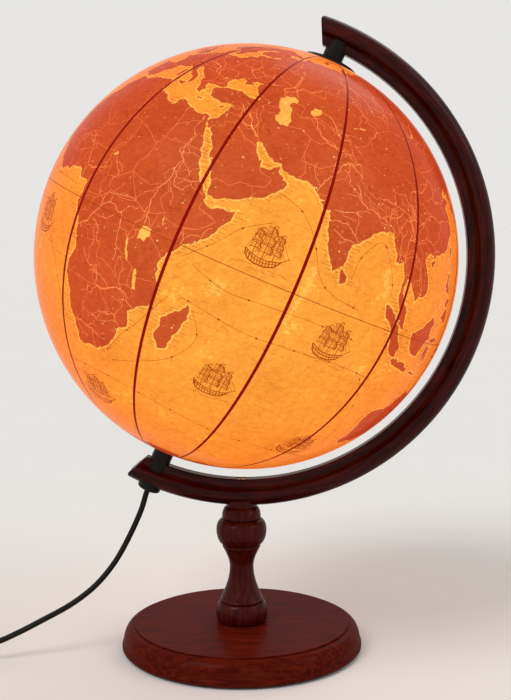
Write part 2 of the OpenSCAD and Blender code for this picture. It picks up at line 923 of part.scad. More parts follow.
module rounded_block(length, width, r, z0, z1)
{
    translate([-length / 2 + r, -width / 2, z0])
        cube([length - 2 * r, width, z1 - z0]);
    translate([-length / 2, -width / 2 + r, z0])
        cube([length, width - 2 * r, z1 - z0]);
    for (x = [-1, 1], y = [-1, 1])
        translate([x * (length / 2 - r), y * (width / 2 - r), 0])
            bar(r, z0, z1);
}

switch_screw_r = 1.25;
switch_post_r = 2.6;
switch_post = [switch_l / 2 - switch_t - switch_post_r - 1, switch_w / 2 - switch_t - switch_post_r];
pivot_z = switch_h - 3;

module switch_posts(z0, z1, r)
{
    for (s = [-1, 1])
        translate([s * switch_post[0], s * switch_post[1], 0])
            bar(r, z0, z1);
}

module cord_way()
{
    translate([-switch_l, 0, switch_split])
        rotate([0, 90, 0])
            cylinder(d = cord_d, h = 2 * switch_l);
}

module switch_lower()
{
    color(black)
        place_switch()
            difference()
            {
                union()
                {
                    difference()
                    {
                        rounded_block(switch_l, switch_w, 6, 0, switch_split);
                        rounded_block(switch_l - 2 * switch_t, switch_w - 2 * switch_t, 6 - switch_t,
                            switch_t, switch_split + 1);
                    }
                    switch_posts(0, switch_split, switch_post_r);
                }
                cord_way();
                switch_posts(-1, switch_split + 1, switch_screw_r + play);
                switch_posts(-1, 2.4, 2.3);
            }
}

module switch_upper()
{
    cheek_in = rocker_w / 2 + play;
    cheek_t = 1.6;
    cheek_low = pivot_z - rocker_pin_d;
    roof = switch_h - switch_t;
    color(black)
        place_switch()
            difference()
            {
                union()
                {
                    difference()
                    {
                        rounded_block(switch_l, switch_w, 6, switch_split, switch_h);
                        rounded_block(switch_l - 2 * switch_t, switch_w - 2 * switch_t, 6 - switch_t,
                            switch_split - 1, roof);
                    }
                    switch_posts(switch_split, roof + eps, switch_post_r);
                    for (y = [-1, 1])
                        translate([-rocker_pin_d, y * (cheek_in + cheek_t / 2) - cheek_t / 2, cheek_low])
                            cube([2 * rocker_pin_d, cheek_t, roof - cheek_low + eps]);
                }
                translate([-rocker_l / 2 - play, -cheek_in, cheek_low])
                    cube([rocker_l + 2 * play, 2 * cheek_in, switch_h]);
                cord_way();
                switch_posts(switch_split - 1, roof - 1, switch_screw_r);
                translate([0, 0, pivot_z])
                    rotate([90, 0, 0])
                        bar(rocker_pin_d / 2 + run, -cheek_in - cheek_t, cheek_in + cheek_t);
            }
}

module switch_rocker()
{
    rise = 4.2;
    dip = 3.2;
    drop = 3.6;
    color([0.16, 0.15, 0.15])
        place_switch()
            translate([0, 0, pivot_z])
                rotate([0, rocker_tilt, 0])
                    rotate([90, 0, 0])
                    {
                        linear_extrude(rocker_w, center = true)
                            intersection()
                            {
                                circle(rocker_l / 2);
                                polygon([[-rocker_l, -drop], [rocker_l, -drop], [rocker_l, rise + rocker_l / 9],
                                         [rocker_l / 2, rise], [0, dip], [-rocker_l / 2, rise],
                                         [-rocker_l, rise + rocker_l / 9]]);
                            }
                        bar(rocker_pin_d / 2, -rocker_w / 2 - play - 1.4, rocker_w / 2 + play + 1.4);
                    }
}

module switch_screws()
{
    color(steel)
        place_switch()
        {
            switch_posts(0.6, 2.4, 2.2);
            switch_posts(2.4, switch_h - switch_t - 1.4, switch_screw_r);
        }
}

module switch_contacts()
{
    color(brass)
        place_switch()
            for (x = [-1, 1])
                translate([x * 8 - 5, -3, switch_t])
                    cube([10, 6, 2.4]);
}

// Plug, lying flat with its pins towards -X
module place_plug()
{
    translate(plug_place)
        rotate([0, 0, plug_turn])
            children();
}

sleeve_l = plug_pin_l / 2;
pin_core_r = plug_pin_d / 2 - 0.4;

module plug_body()
{
    half = plug_w / 2;
    tail = 7;
    color(black)
        place_plug()
            difference()
            {
                union()
                {
                    linear_extrude(plug_t, center = true)
                        polygon(concat(
                            [[-half + 2, 0], [half - 2, 0], [half, 2]],
                            ease_in([half, plug_l * 0.4], [tail, plug_l], 7),
                            backwards([for (p = ease_in([half, plug_l * 0.4], [tail, plug_l], 7)) [-p[0], p[1]]]),
                            [[-half, 2]]));
                    translate([0, plug_l, 0])
                        rotate([-90, 0, 0])
                            rotate_extrude()
                                polygon(concat([[0, -2]],
                                    [for (i = [0 : 5], k = [0 : 1])
                                        [5.6 - 0.35 * i - (k == 0 ? 0 : 0.5), (i + k * 0.75) * guard_l / 6]],
                                    [[cord_d / 2 + 1, guard_l], [0, guard_l]]));
                    for (x = [-1, 1])
                        translate([x * plug_pitch / 2, -sleeve_l, 0])
                            rotate([-90, 0, 0])
                                cylinder(d = plug_pin_d, h = sleeve_l + 1);
                }
                for (x = [-1, 1])
                    translate([x * plug_pitch / 2, -sleeve_l - 1, 0])
                        rotate([-90, 0, 0])
                            cylinder(r = pin_core_r, h = sleeve_l + 9);
                translate([0, plug_l + guard_l / 2, 0])
                    rotate([-90, 0, 0])
                        cylinder(d = cord_d, h = guard_l);
            }
}

module plug_pins()
{
    color(brass)
        place_plug()
            for (x = [-1, 1])
                translate([x * plug_pitch / 2, 0, 0])
                    rotate([90, 0, 0])
                    {
                        bar(pin_core_r, -8, sleeve_l + 1);
                        bar(plug_pin_d / 2, sleeve_l, plug_pin_l - 1);
                        translate([0, 0, plug_pin_l - 1])
                            cylinder(r1 = plug_pin_d / 2, r2 = plug_pin_d / 2 - 0.8, h = 1);
                    }
}

felt_pad();
base_disc();
base_washer();
base_screw();
column();
meridian_arm();
arm_screw();
north_shell();
south_shell();
pole_cap();
bearing_ring();
pole_plunger();
pivot_pin();
pivot_spring();
lamp_bush();
lamp_tube();
tube_washer();
tube_nut();
cord_bush();
inner_leads();
holder_cap();
holder_core();
holder_contact();
holder_thread();
holder_sleeve();
bulb_base();
bulb_glass();
bulb_filament();
cord_lead();
switch_lower();
switch_upper();
switch_rocker();
switch_screws();
switch_contacts();
cord_link();
cord_coil();
cord_tail();
plug_body();
plug_pins();
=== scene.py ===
import json
import math

import bpy
import numpy as np
from mathutils import Matrix, Vector
from mathutils.geometry import delaunay_2d_cdt


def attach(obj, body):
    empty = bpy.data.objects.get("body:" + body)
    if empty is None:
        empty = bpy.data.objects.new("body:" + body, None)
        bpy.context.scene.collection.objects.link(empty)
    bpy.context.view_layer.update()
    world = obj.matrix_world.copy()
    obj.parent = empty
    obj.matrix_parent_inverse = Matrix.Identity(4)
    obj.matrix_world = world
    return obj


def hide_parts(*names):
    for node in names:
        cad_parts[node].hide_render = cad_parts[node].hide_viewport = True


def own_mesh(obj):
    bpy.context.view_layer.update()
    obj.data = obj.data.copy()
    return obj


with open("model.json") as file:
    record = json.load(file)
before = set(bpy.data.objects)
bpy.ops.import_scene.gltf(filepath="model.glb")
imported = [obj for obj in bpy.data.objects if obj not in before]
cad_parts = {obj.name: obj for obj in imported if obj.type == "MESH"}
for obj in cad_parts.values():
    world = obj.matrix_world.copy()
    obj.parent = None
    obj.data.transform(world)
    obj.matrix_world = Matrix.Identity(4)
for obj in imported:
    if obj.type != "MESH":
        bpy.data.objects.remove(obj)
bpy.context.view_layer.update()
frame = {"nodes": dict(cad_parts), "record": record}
nodes = frame["nodes"]
collection = bpy.context.scene.collection
mm = 0.001

# The globe and its tilted polar axis, which leans towards +X
globeCentre = Vector((0.005, 0, 0.305))
globeRadius = 0.160
tilt = math.radians(23.5)
axisDown = Vector((-math.sin(tilt), 0, -math.cos(tilt)))
bodyFrame = Matrix.Translation(globeCentre) @ Matrix.Rotation(tilt, 4, "Y")


def axisPoint(d):      # d in mm from the globe's centre towards the south pole
    return globeCentre + axisDown * (d * mm)


# Meshes
def meshObject(name, verts, faces, material, body, smooth=True):
    mesh = bpy.data.meshes.new(name)
    mesh.from_pydata([tuple(v) for v in verts], [], [tuple(f) for f in faces])
    mesh.polygons.foreach_set("use_smooth", [smooth] * len(mesh.polygons))
    mesh.update()
    obj = bpy.data.objects.new(name, mesh)
    collection.objects.link(obj)
    if material:
        mesh.materials.append(material)
    if body:
        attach(obj, body)
    return obj


def turnedMesh(profile, steps):      # a closed profile of (radius, height) in mm, turned round Z
    verts, faces = [], []
    n = len(profile)
    for i in range(steps):
        a = 2 * math.pi * i / steps
        verts += [Vector((r * mm * math.cos(a), r * mm * math.sin(a), z * mm)) for r, z in profile]
    for i in range(steps):
        k = (i + 1) % steps
        for j in range(n):
            m = (j + 1) % n
            faces.append((i * n + j, k * n + j, k * n + m, i * n + m))
    return verts, faces


# Materials
def newMaterial(name):
    material = bpy.data.materials.new(name)
    material.use_nodes = True
    return material, material.node_tree, material.node_tree.nodes["Principled BSDF"]


def addNode(tree, kind, inputs=None, **settings):
    node = tree.nodes.new(kind)
    for key, value in settings.items():
        setattr(node, key, value)
    for key, value in (inputs or {}).items():
        if isinstance(value, bpy.types.NodeSocket):
            tree.links.new(value, node.inputs[key])
        else:
            node.inputs[key].default_value = value
    return node


def mathNode(tree, operation, *values):
    return addNode(tree, "ShaderNodeMath", dict(enumerate(values)), operation=operation).outputs[0]


def noise(tree, place, scale, detail, roughness=0.5, distortion=0.0):
    return addNode(tree, "ShaderNodeTexNoise", {"Vector": place, "Scale": scale, "Detail": detail,
                                                "Roughness": roughness, "Distortion": distortion}).outputs


def spread(tree, value, low, high, newLow, newHigh):
    return addNode(tree, "ShaderNodeMapRange", {"Value": value, "From Min": low, "From Max": high,
                                                "To Min": newLow, "To Max": newHigh}).outputs["Result"]


def ramp(tree, factor, stops):
    node = addNode(tree, "ShaderNodeValToRGB")
    tree.links.new(factor, node.inputs[0])
    while len(node.color_ramp.elements) < len(stops):
        node.color_ramp.elements.new(0.5)
    for element, (place, colour) in zip(node.color_ramp.elements, stops):
        element.position = place
        element.color = (*colour, 1)
    return node.outputs[0]


def objectPoint(tree, scale=(1, 1, 1)):
    coords = addNode(tree, "ShaderNodeTexCoord")
    mapping = addNode(tree, "ShaderNodeMapping", {"Vector": coords.outputs["Object"], "Scale": scale})
    return mapping.outputs[0]


def bump(tree, shader, height, strength, distance):
    node = addNode(tree, "ShaderNodeBump", {"Height": height, "Strength": strength, "Distance": distance})
    tree.links.new(node.outputs[0], shader.inputs["Normal"])


def setInputs(shader, values):
    for key, value in values.items():
        shader.inputs[key].default_value = value


# A tube along a line, swept by geometry nodes and kept as a plain mesh
def sweptTube(name, points, radius, sides, material, body):
    path = bpy.data.curves.new(name + "Line", "CURVE")
    path.dimensions = "3D"
    spline = path.splines.new("POLY")
    spline.points.add(len(points) - 1)
    for point, place in zip(spline.points, points):
        point.co = (*place, 1)
    tree = bpy.data.node_groups.new(name + "Sweep", "GeometryNodeTree")
    sizes = {"Radius": ("NodeSocketFloat", radius), "Sides": ("NodeSocketInt", sides),
             "Material": ("NodeSocketMaterial", material)}
    tree.interface.new_socket("Geometry", in_out="INPUT", socket_type="NodeSocketGeometry")
    sockets = {}
    for label, (kind, value) in sizes.items():
        sockets[label] = tree.interface.new_socket(label, in_out="INPUT", socket_type=kind)
    tree.interface.new_socket("Geometry", in_out="OUTPUT", socket_type="NodeSocketGeometry")
    given = addNode(tree, "NodeGroupInput").outputs
    circle = addNode(tree, "GeometryNodeCurvePrimitiveCircle",
                     {"Resolution": given["Sides"], "Radius": given["Radius"]})
    sweep = addNode(tree, "GeometryNodeCurveToMesh",
                    {"Curve": given["Geometry"], "Profile Curve": circle.outputs[0], "Fill Caps": True})
    smooth = addNode(tree, "GeometryNodeSetShadeSmooth", {"Geometry": sweep.outputs[0]})
    whole = addNode(tree, "GeometryNodeRealizeInstances", {"Geometry": smooth.outputs[0]})
    painted = addNode(tree, "GeometryNodeSetMaterial",
                      {"Geometry": whole.outputs[0], "Material": given["Material"]})
    tree.links.new(painted.outputs[0], addNode(tree, "NodeGroupOutput").inputs[0])
    holder = bpy.data.objects.new(name + "Line", path)
    collection.objects.link(holder)
    modifier = holder.modifiers.new("sweep", "NODES")
    modifier.node_group = tree
    for label, (kind, value) in sizes.items():
        modifier[sockets[label].identifier] = value
    bpy.context.view_layer.update()
    mesh = bpy.data.meshes.new_from_object(holder.evaluated_get(bpy.context.evaluated_depsgraph_get()))
    bpy.data.objects.remove(holder)
    obj = bpy.data.objects.new(name, mesh)
    collection.objects.link(obj)
    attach(obj, body)
    return obj


# Camera, fitted to the photograph's view
cameraView = {
    "place": (0.0652, -0.9296, 0.3348),
    "right": (0.99835, 0.05721, -0.00381),
    "up": (-0.00231, 0.10660, 0.99430),
    "lens": 62.54,
    "sensor": 36,
    "clip": (0.02, 60),
}
camera = bpy.data.objects.new("camera", bpy.data.cameras.new("camera"))
collection.objects.link(camera)
camera.data.lens = cameraView["lens"]
camera.data.sensor_width = cameraView["sensor"]
right, up = Vector(cameraView["right"]).normalized(), Vector(cameraView["up"]).normalized()
back = right.cross(up).normalized()
up = back.cross(right)
facing = Matrix((right, up, back)).transposed().to_4x4()
camera.matrix_world = Matrix.Translation(cameraView["place"]) @ facing
camera.data.clip_start, camera.data.clip_end = cameraView["clip"]
bpy.context.scene.camera = camera
bpy.context.scene.view_settings.view_transform = "Standard"

# Plain pale floor in a pale room, with soft lamps
stageLook = {
    "colour": (0.78, 0.77, 0.755),
    "reach": 40,                         # half the floor's width
    "seen": (0.80, 0.79, 0.775),         # the room as the camera sees it
    "sky": 0.55,                         # its light on the object
    "skyColour": (1, 0.99, 0.97),
    "lampWidth": 28,                     # degrees that each lamp fills
    "lamps": {                           # where each one shines from, and its power
        "keyLamp": ((-1.3, -1.5, 2.3), 1.25),
        "fillLamp": ((1.8, -0.6, 1.3), 0.4),
        "backLamp": ((0.8, 1.6, 1.8), 0.4),
    },
}


def makeFloor():
    r = stageLook["reach"]
    verts, faces = [(-r, -r, 0), (r, -r, 0), (r, r, 0), (-r, r, 0)], [(0, 1, 2, 3)]
    material, tree, shader = newMaterial("backdropPaper")
    cloudy = noise(tree, objectPoint(tree, (3, 3, 3)), 2.0, 2.0)["Fac"]
    low = tuple(c * 0.985 for c in stageLook["colour"])
    colour = ramp(tree, cloudy, [(0.3, low), (0.7, stageLook["colour"])])
    tree.links.new(colour, shader.inputs["Base Color"])
    setInputs(shader, {"Roughness": 0.9, "Specular IOR Level": 0.1})
    floor = meshObject("floor", verts, faces, material, None)


def makeLamps():
    for name, (place, power) in stageLook["lamps"].items():
        lamp = bpy.data.lights.new(name, "SUN")
        lamp.angle, lamp.energy = math.radians(stageLook["lampWidth"]), power
        holder = bpy.data.objects.new(name, lamp)
        collection.objects.link(holder)
        holder.rotation_mode = "QUATERNION"
        holder.rotation_quaternion = Vector(place).to_track_quat("Z", "Y")


def makeRoom():      # the camera, glass and gloss see it at its own paleness, whatever light it gives
    world = bpy.data.worlds.new("room")
    bpy.context.scene.world = world
    world.use_nodes = True
    tree = world.node_tree
    background = tree.nodes["Background"]
    setInputs(background, {"Color": (*stageLook["skyColour"], 1), "Strength": stageLook["sky"]})
    seen = addNode(tree, "ShaderNodeBackground", {"Color": (*stageLook["seen"], 1), "Strength": 1.0})
    ray = addNode(tree, "ShaderNodeLightPath").outputs
    direct = mathNode(tree, "MAXIMUM", ray["Is Camera Ray"], ray["Is Transmission Ray"])
    shown = mathNode(tree, "MAXIMUM", direct, ray["Is Glossy Ray"])
    mix = addNode(tree, "ShaderNodeMixShader", {0: shown, 1: background.outputs[0], 2: seen.outputs[0]})
    tree.links.new(mix.outputs[0], tree.nodes["World Output"].inputs["Surface"])


makeFloor()
makeLamps()
makeRoom()
print("camera and stage made")

# Turned and moulded mahogany under satin lacquer; the grain is long where its stretch is 1
woodLook = {
    "base": {
        "dark": (0.038, 0.0020, 0.0009), "mid": (0.072, 0.0046, 0.0016), "pale": (0.108, 0.0105, 0.0032),
        "stretch": (1, 9, 9), "roughness": 0.42, "lacquer": 0.03, "sheen": 0.015,
    },
    "column": {
        "dark": (0.024, 0.0016, 0.0008), "mid": (0.048, 0.0036, 0.0014), "pale": (0.078, 0.0080, 0.0028),
        "stretch": (9, 9, 1), "roughness": 0.30, "lacquer": 0.10, "sheen": 0.04,
    },
    "arm": {
        "dark": (0.0085, 0.0012, 0.0008), "mid": (0.026, 0.0024, 0.0012), "pale": (0.070, 0.0046, 0.0020),
        "stretch": (1, 9, 9), "roughness": 0.26, "lacquer": 0.12, "sheen": 0.05,
        "bend": {"centre": (0.0017, 0.305), "radius": 0.18},      # x and z of the arm's own centre
    },
}


def bentPoint(tree, bend, scale):      # (along the bend, away from its centre, across)
    coords = addNode(tree, "ShaderNodeTexCoord")
    apart = addNode(tree, "ShaderNodeSeparateXYZ", {0: coords.outputs["Object"]}).outputs
    x = mathNode(tree, "SUBTRACT", apart["X"], bend["centre"][0])
    z = mathNode(tree, "SUBTRACT", apart["Z"], bend["centre"][1])
    squares = mathNode(tree, "MULTIPLY_ADD", z, z, mathNode(tree, "MULTIPLY", x, x))
    away = mathNode(tree, "POWER", squares, 0.5)
    along = mathNode(tree, "MULTIPLY", mathNode(tree, "ARCTAN2", z, x), bend["radius"])
    joined = addNode(tree, "ShaderNodeCombineXYZ", {0: along, 1: away, 2: apart["Y"]})
    return addNode(tree, "ShaderNodeMapping", {"Vector": joined.outputs[0], "Scale": scale}).outputs[0]


def woodMaterial(part):
    material, tree, shader = newMaterial(part + "Wood")
    look = woodLook[part]
    if "bend" in look:
        place = bentPoint(tree, look["bend"], look["stretch"])
    else:
        place = objectPoint(tree, look["stretch"])
    wander = noise(tree, place, 9.0, 3.0)["Color"]
    shift = addNode(tree, "ShaderNodeMix", {"Factor": 0.06, "A": place, "B": wander}, data_type="VECTOR")
    grain = noise(tree, shift.outputs["Result"], 42.0, 6.0, 0.62, 0.4)["Fac"]
    pores = noise(tree, place, 190.0, 2.0)["Fac"]
    mixed = mathNode(tree, "MULTIPLY_ADD", pores, 0.25, grain)
    colour = ramp(tree, mixed, [(0.44, look["dark"]), (0.60, look["mid"]), (0.78, look["pale"])])
    tree.links.new(colour, shader.inputs["Base Color"])
    rough = spread(tree, grain, 0.3, 0.7, look["roughness"], look["roughness"] + 0.12)
    tree.links.new(rough, shader.inputs["Roughness"])
    setInputs(shader, {"Coat Weight": look["lacquer"], "Coat Roughness": 0.14,
                       "Specular IOR Level": look["sheen"]})
    bump(tree, shader, mixed, 0.12, 0.0004)
    return material


# Plain finishes: colour, roughness, metal, how much the colour wanders, grain size in metres, bump
finishes = {
    "felt": ((0.05, 0.12, 0.07), 0.95, 0, 0.35, 0.0012, 0.5),
    "steel": ((0.55, 0.55, 0.56), 0.32, 1, 0.10, 0.004, 0.06),
    "brass": ((0.60, 0.42, 0.14), 0.28, 1, 0.12, 0.006, 0.05),
    "black_plastic": ((0.007, 0.0055, 0.005), 0.32, 0, 0.20, 0.006, 0.05),
    "lead_sleeve": ((0.05, 0.12, 0.32), 0.5, 0, 0.10, 0.004, 0.05),
    "ceramic": ((0.72, 0.68, 0.60), 0.25, 0, 0.06, 0.006, 0.04),
    "filament": ((0.9, 0.7, 0.4), 0.4, 0, 0.10, 0.003, 0.05),
    "flex": ((0.007, 0.006, 0.006), 0.42, 0, 0.25, 0.002, 0.10),
    "switch_plastic": ((0.014, 0.013, 0.013), 0.45, 0, 0.20, 0.0008, 0.25),
    "rocker_plastic": ((0.02, 0.019, 0.019), 0.22, 0, 0.12, 0.006, 0.04),
    "plug_plastic": ((0.014, 0.013, 0.013), 0.45, 0, 0.20, 0.0008, 0.25),
    "nickel": ((0.62, 0.60, 0.57), 0.18, 1, 0.08, 0.004, 0.04),
    "bulb_glass": ((1, 0.97, 0.92), 0.05, 0, 0.02, 0.02, 0.02),
}
# what some of them have beside that
finishExtras = {
    "felt": {"Sheen Weight": 0.5, "Sheen Roughness": 0.5},
    "filament": {"Emission Color": (1, 0.62, 0.25, 1), "Emission Strength": 12.0},
    "bulb_glass": {"Transmission Weight": 1.0, "IOR": 1.45},
}
blackGloss = {"below": 0.03, "level": 0.12}      # black finishes reflect less than others


def plainMaterial(name):
    colour, rough, metal, wander, size, height = finishes[name]
    material, tree, shader = newMaterial(name)
    place = objectPoint(tree)
    fine = noise(tree, place, 1 / size, 3.0)["Fac"]
    broad = noise(tree, place, 24.0, 4.0)["Fac"]
    both = mathNode(tree, "ADD", broad, fine)
    low = tuple(c * (1 - wander) for c in colour)
    high = tuple(min(1, c * (1 + wander)) for c in colour)
    tree.links.new(ramp(tree, both, [(0.7, low), (1.0, high)]), shader.inputs["Base Color"])
    uneven = spread(tree, broad, 0.3, 0.7, max(0.02, rough - 0.06), min(1, rough + 0.08))
    tree.links.new(uneven, shader.inputs["Roughness"])
    setInputs(shader, {"Metallic": metal})
    bump(tree, shader, fine, height, size * 0.3)
    if max(colour) < blackGloss["below"]:
        setInputs(shader, {"Specular IOR Level": blackGloss["level"]})
    setInputs(shader, finishExtras.get(name, {}))
    return material


materials = {name: plainMaterial(name) for name in finishes}
for part in woodLook:
    materials[part + "_wood"] = woodMaterial(part)
print("finishes made")

# Flex: one line from the bush in the arm, through the switch and the coil, to the plug
flex = {
    "diameter": 4.4,
    "coilMiddle": (-238, 2),
    "turnRadii": (31.6, 27.2, 22.8, 18.4),
    "turn": 300,                 # degrees that a turn keeps its radius, and then moves over
    "innerTurn": 240,            # the same on the innermost turn of each layer
    "moveOver": 60,
    "layers": (2.62, 7.02),      # height of each layer's centreline
    "rest": 2.35,                # centreline height where it lies on the floor
    "exitReach": 196.2,          # along the polar axis from the globe's centre
    "exitStraight": 4,           # straight on either side of that
    "perStretch": 8,             # points from one point of the route to the next
    "sides": 16,
}


def smoothLine(points, perStretch):
    p = [Vector(v) for v in points]
    out = []
    for i in range(len(p) - 1):
        a, b, c, d = p[max(i - 1, 0)], p[i], p[i + 1], p[min(i + 2, len(p) - 1)]
        for k in range(perStretch):
            t = k / perStretch
            out.append(0.5 * (2 * b + (c - a) * t + (2 * a - 5 * b + 4 * c - d) * t * t
                              + (3 * b - a - 3 * c + d) * t ** 3))
    return out + [p[-1]]


def ease(t):
    t = min(1, max(0, t))
    return t * t * (3 - 2 * t)


def coilLine():      # inwards in the lower layer and outwards in the upper one
    low, high = flex["layers"]
    radii = flex["turnRadii"]
    marks, start = [], 0      # (angle from the front of the coil, radius, height)
    for radius, height in [(r, low) for r in radii] + [(r, high) for r in reversed(radii)]:
        stop = start + (flex["innerTurn"] if radius == radii[-1] else flex["turn"])
        marks += [(start, radius, height), (stop, radius, height)]
        start = stop + flex["moveOver"]
    points = []
    for (a0, r0, z0), (a1, r1, z1) in zip(marks, marks[1:]):
        steps = max(2, int((a1 - a0) / 6))
        for k in range(steps):
            t = ease(k / steps)
            angle = math.radians(a0 + (a1 - a0) * k / steps - 90)
            r = r0 + (r1 - r0) * t
            points.append(Vector((flex["coilMiddle"][0] + r * math.cos(angle),
                                  flex["coilMiddle"][1] + r * math.sin(angle), z0 + (z1 - z0) * t)))
    return points


def flexLine():
    low, first, high = flex["rest"], *flex["layers"]
    front = flex["coilMiddle"][1] - flex["turnRadii"][0]
    rear = flex["coilMiddle"][1] + flex["turnRadii"][0]
    reach, straight = flex["exitReach"], flex["exitStraight"]
    start = [axisPoint(reach - straight) / mm, axisPoint(reach + straight) / mm]
    lead = start + [(-79, -1, 108), (-88, -4, 88), (-98, -8, 70), (-109, -13, 56), (-120, -17, 46),
                    (-134, -23, 37), (-153, -31, 28), (-168, -36, 21), (-183, -41, 15), (-198, -46, 11),
                    (-212, -51, 9), (-226, -56, 9), (-252, -65.5, 9), (-278, -75, 9), (-292, -80.2, 8),
                    (-307, -82, 5.5), (-322, -77, 3), (-332, -65, low), (-332.5, -51, low),
                    (-324, -38, low), (-309, -31.5, low), (-290, front, low), (-266, front, low),
                    (-248, front, first), (-238, front, first)]
    tail = [(-238, rear, high), (-248, rear + 0.1, 6.9), (-258, 34.5, 6.85), (-270, 35, 6.85), (-284, 35, 6.85)]
    step = flex["perStretch"]
    points = smoothLine(lead, step)[:-1] + coilLine() + smoothLine(tail, step)
    return [p * mm for p in points]


line = flexLine()
flexRadius = flex["diameter"] / 2
flexCord = sweptTube("flexCord", line, flexRadius * mm, flex["sides"], materials["flex"], "stand")
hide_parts("cord_lead", "cord_link", "cord_coil", "cord_tail")

# A strap round the coil holds it
strap = {
    "angle": -8,
    "width": 9,
    "thickness": 0.4,
    "gap": 0.05,        # clear of the flex
    "lift": 0.02,       # clear of the floor
    "corner": 2.6,
    "cornerSteps": 6,
}


def strapOutline():      # centres of the corners' arcs with the angles on them, in mm and radians
    r0, r1 = flex["turnRadii"][-1] - flexRadius, flex["turnRadii"][0] + flexRadius
    z0, z1 = flex["layers"][0] - flexRadius, flex["layers"][1] + flexRadius
    c, steps = strap["corner"], strap["cornerSteps"]
    corners = [(r1 - c, z1 - c), (r0 + c, z1 - c), (r0 + c, z0 + c), (r1 - c, z0 + c)]
    outline = []
    for i, (r, z) in enumerate(corners):
        outline += [(r, z, math.radians(90 * i + k * 90 / steps)) for k in range(steps + 1)]
    return outline


def coilStrap(material):
    outline = strapOutline()
    turn = Matrix.Rotation(math.radians(strap["angle"]), 4, "Z")
    place = Matrix.Translation(Vector((*flex["coilMiddle"], 0)) * mm) @ turn
    verts, faces = [], []
    for side in (-1, 1):
        for grown in (strap["gap"], strap["thickness"]):
            reach = strap["corner"] + grown
            for cr, cz, a in outline:
                r, z = cr + reach * math.cos(a), max(strap["lift"], cz + reach * math.sin(a))
                verts.append(place @ Vector((r * mm, side * strap["width"] / 2 * mm, z * mm)))
    n = len(outline)
    for k in range(n):
        m = (k + 1) % n
        faces += [(n + k, n + m, m, k), (2 * n + k, 2 * n + m, 3 * n + m, 3 * n + k),
                  (k, m, 2 * n + m, 2 * n + k), (3 * n + k, 3 * n + m, n + m, n + k)]
    return meshObject("coilStrap", verts, faces, material, "stand", smooth=False)


strapPiece = coilStrap(materials["flex"])
print("cord laid")

# Finishes of the CAD nodes; the two half shells get theirs with the map
for part in frame["record"]["subparts"]:
    node, slotName = nodes[part["node"]], part["material_slot"]
    node.data.materials.clear()
    if slotName in materials:
        node.data.materials.append(materials[slotName])

# Spring behind the sprung pole bearing, wound here at one fixed length; on the real globe it shortens as the
# plunger draws back
poleSpring = {
    "mean": 3.6,            # radius of the wire's centreline
    "wire": 0.4,            # radius of the wire
    "turns": 6,
    "closed": 1.03,         # pitch of the closed turn at each end, in wires
    "low": 168.92,          # first and last height on the axis, from the globe's centre
    "high": 183.38,
    "bore": 183.8,          # floor of the bore that it bears on
    "travel": 7,
    "perTurn": 28,
    "sides": 10,
}


def springLine():
    s = poleSpring
    steps, points = s["turns"] * s["perTurn"], []
    flat = 1 / s["turns"]      # share of the line in the closed turn at each end
    rise = 2 * s["wire"] * s["closed"]
    for k in range(steps + 1):
        t = k / steps
        if t < flat:
            z = s["low"] + rise * t / flat
        elif t > 1 - flat:
            z = s["high"] - rise * (1 - t) / flat
        else:
            z = s["low"] + rise + (s["high"] - s["low"] - 2 * rise) * (t - flat) / (1 - 2 * flat)
        angle = 2 * math.pi * s["turns"] * t
        x, y = s["mean"] * mm * math.cos(angle), s["mean"] * mm * math.sin(angle)
        points.append(bodyFrame @ Vector((x, y, z * mm)))
    return points


springPiece = sweptTube("poleSpring", springLine(), poleSpring["wire"] * mm, poleSpring["sides"],
                        materials["steel"], "stand")
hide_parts("pivot_spring")
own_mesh(springPiece)
print("spring wound")
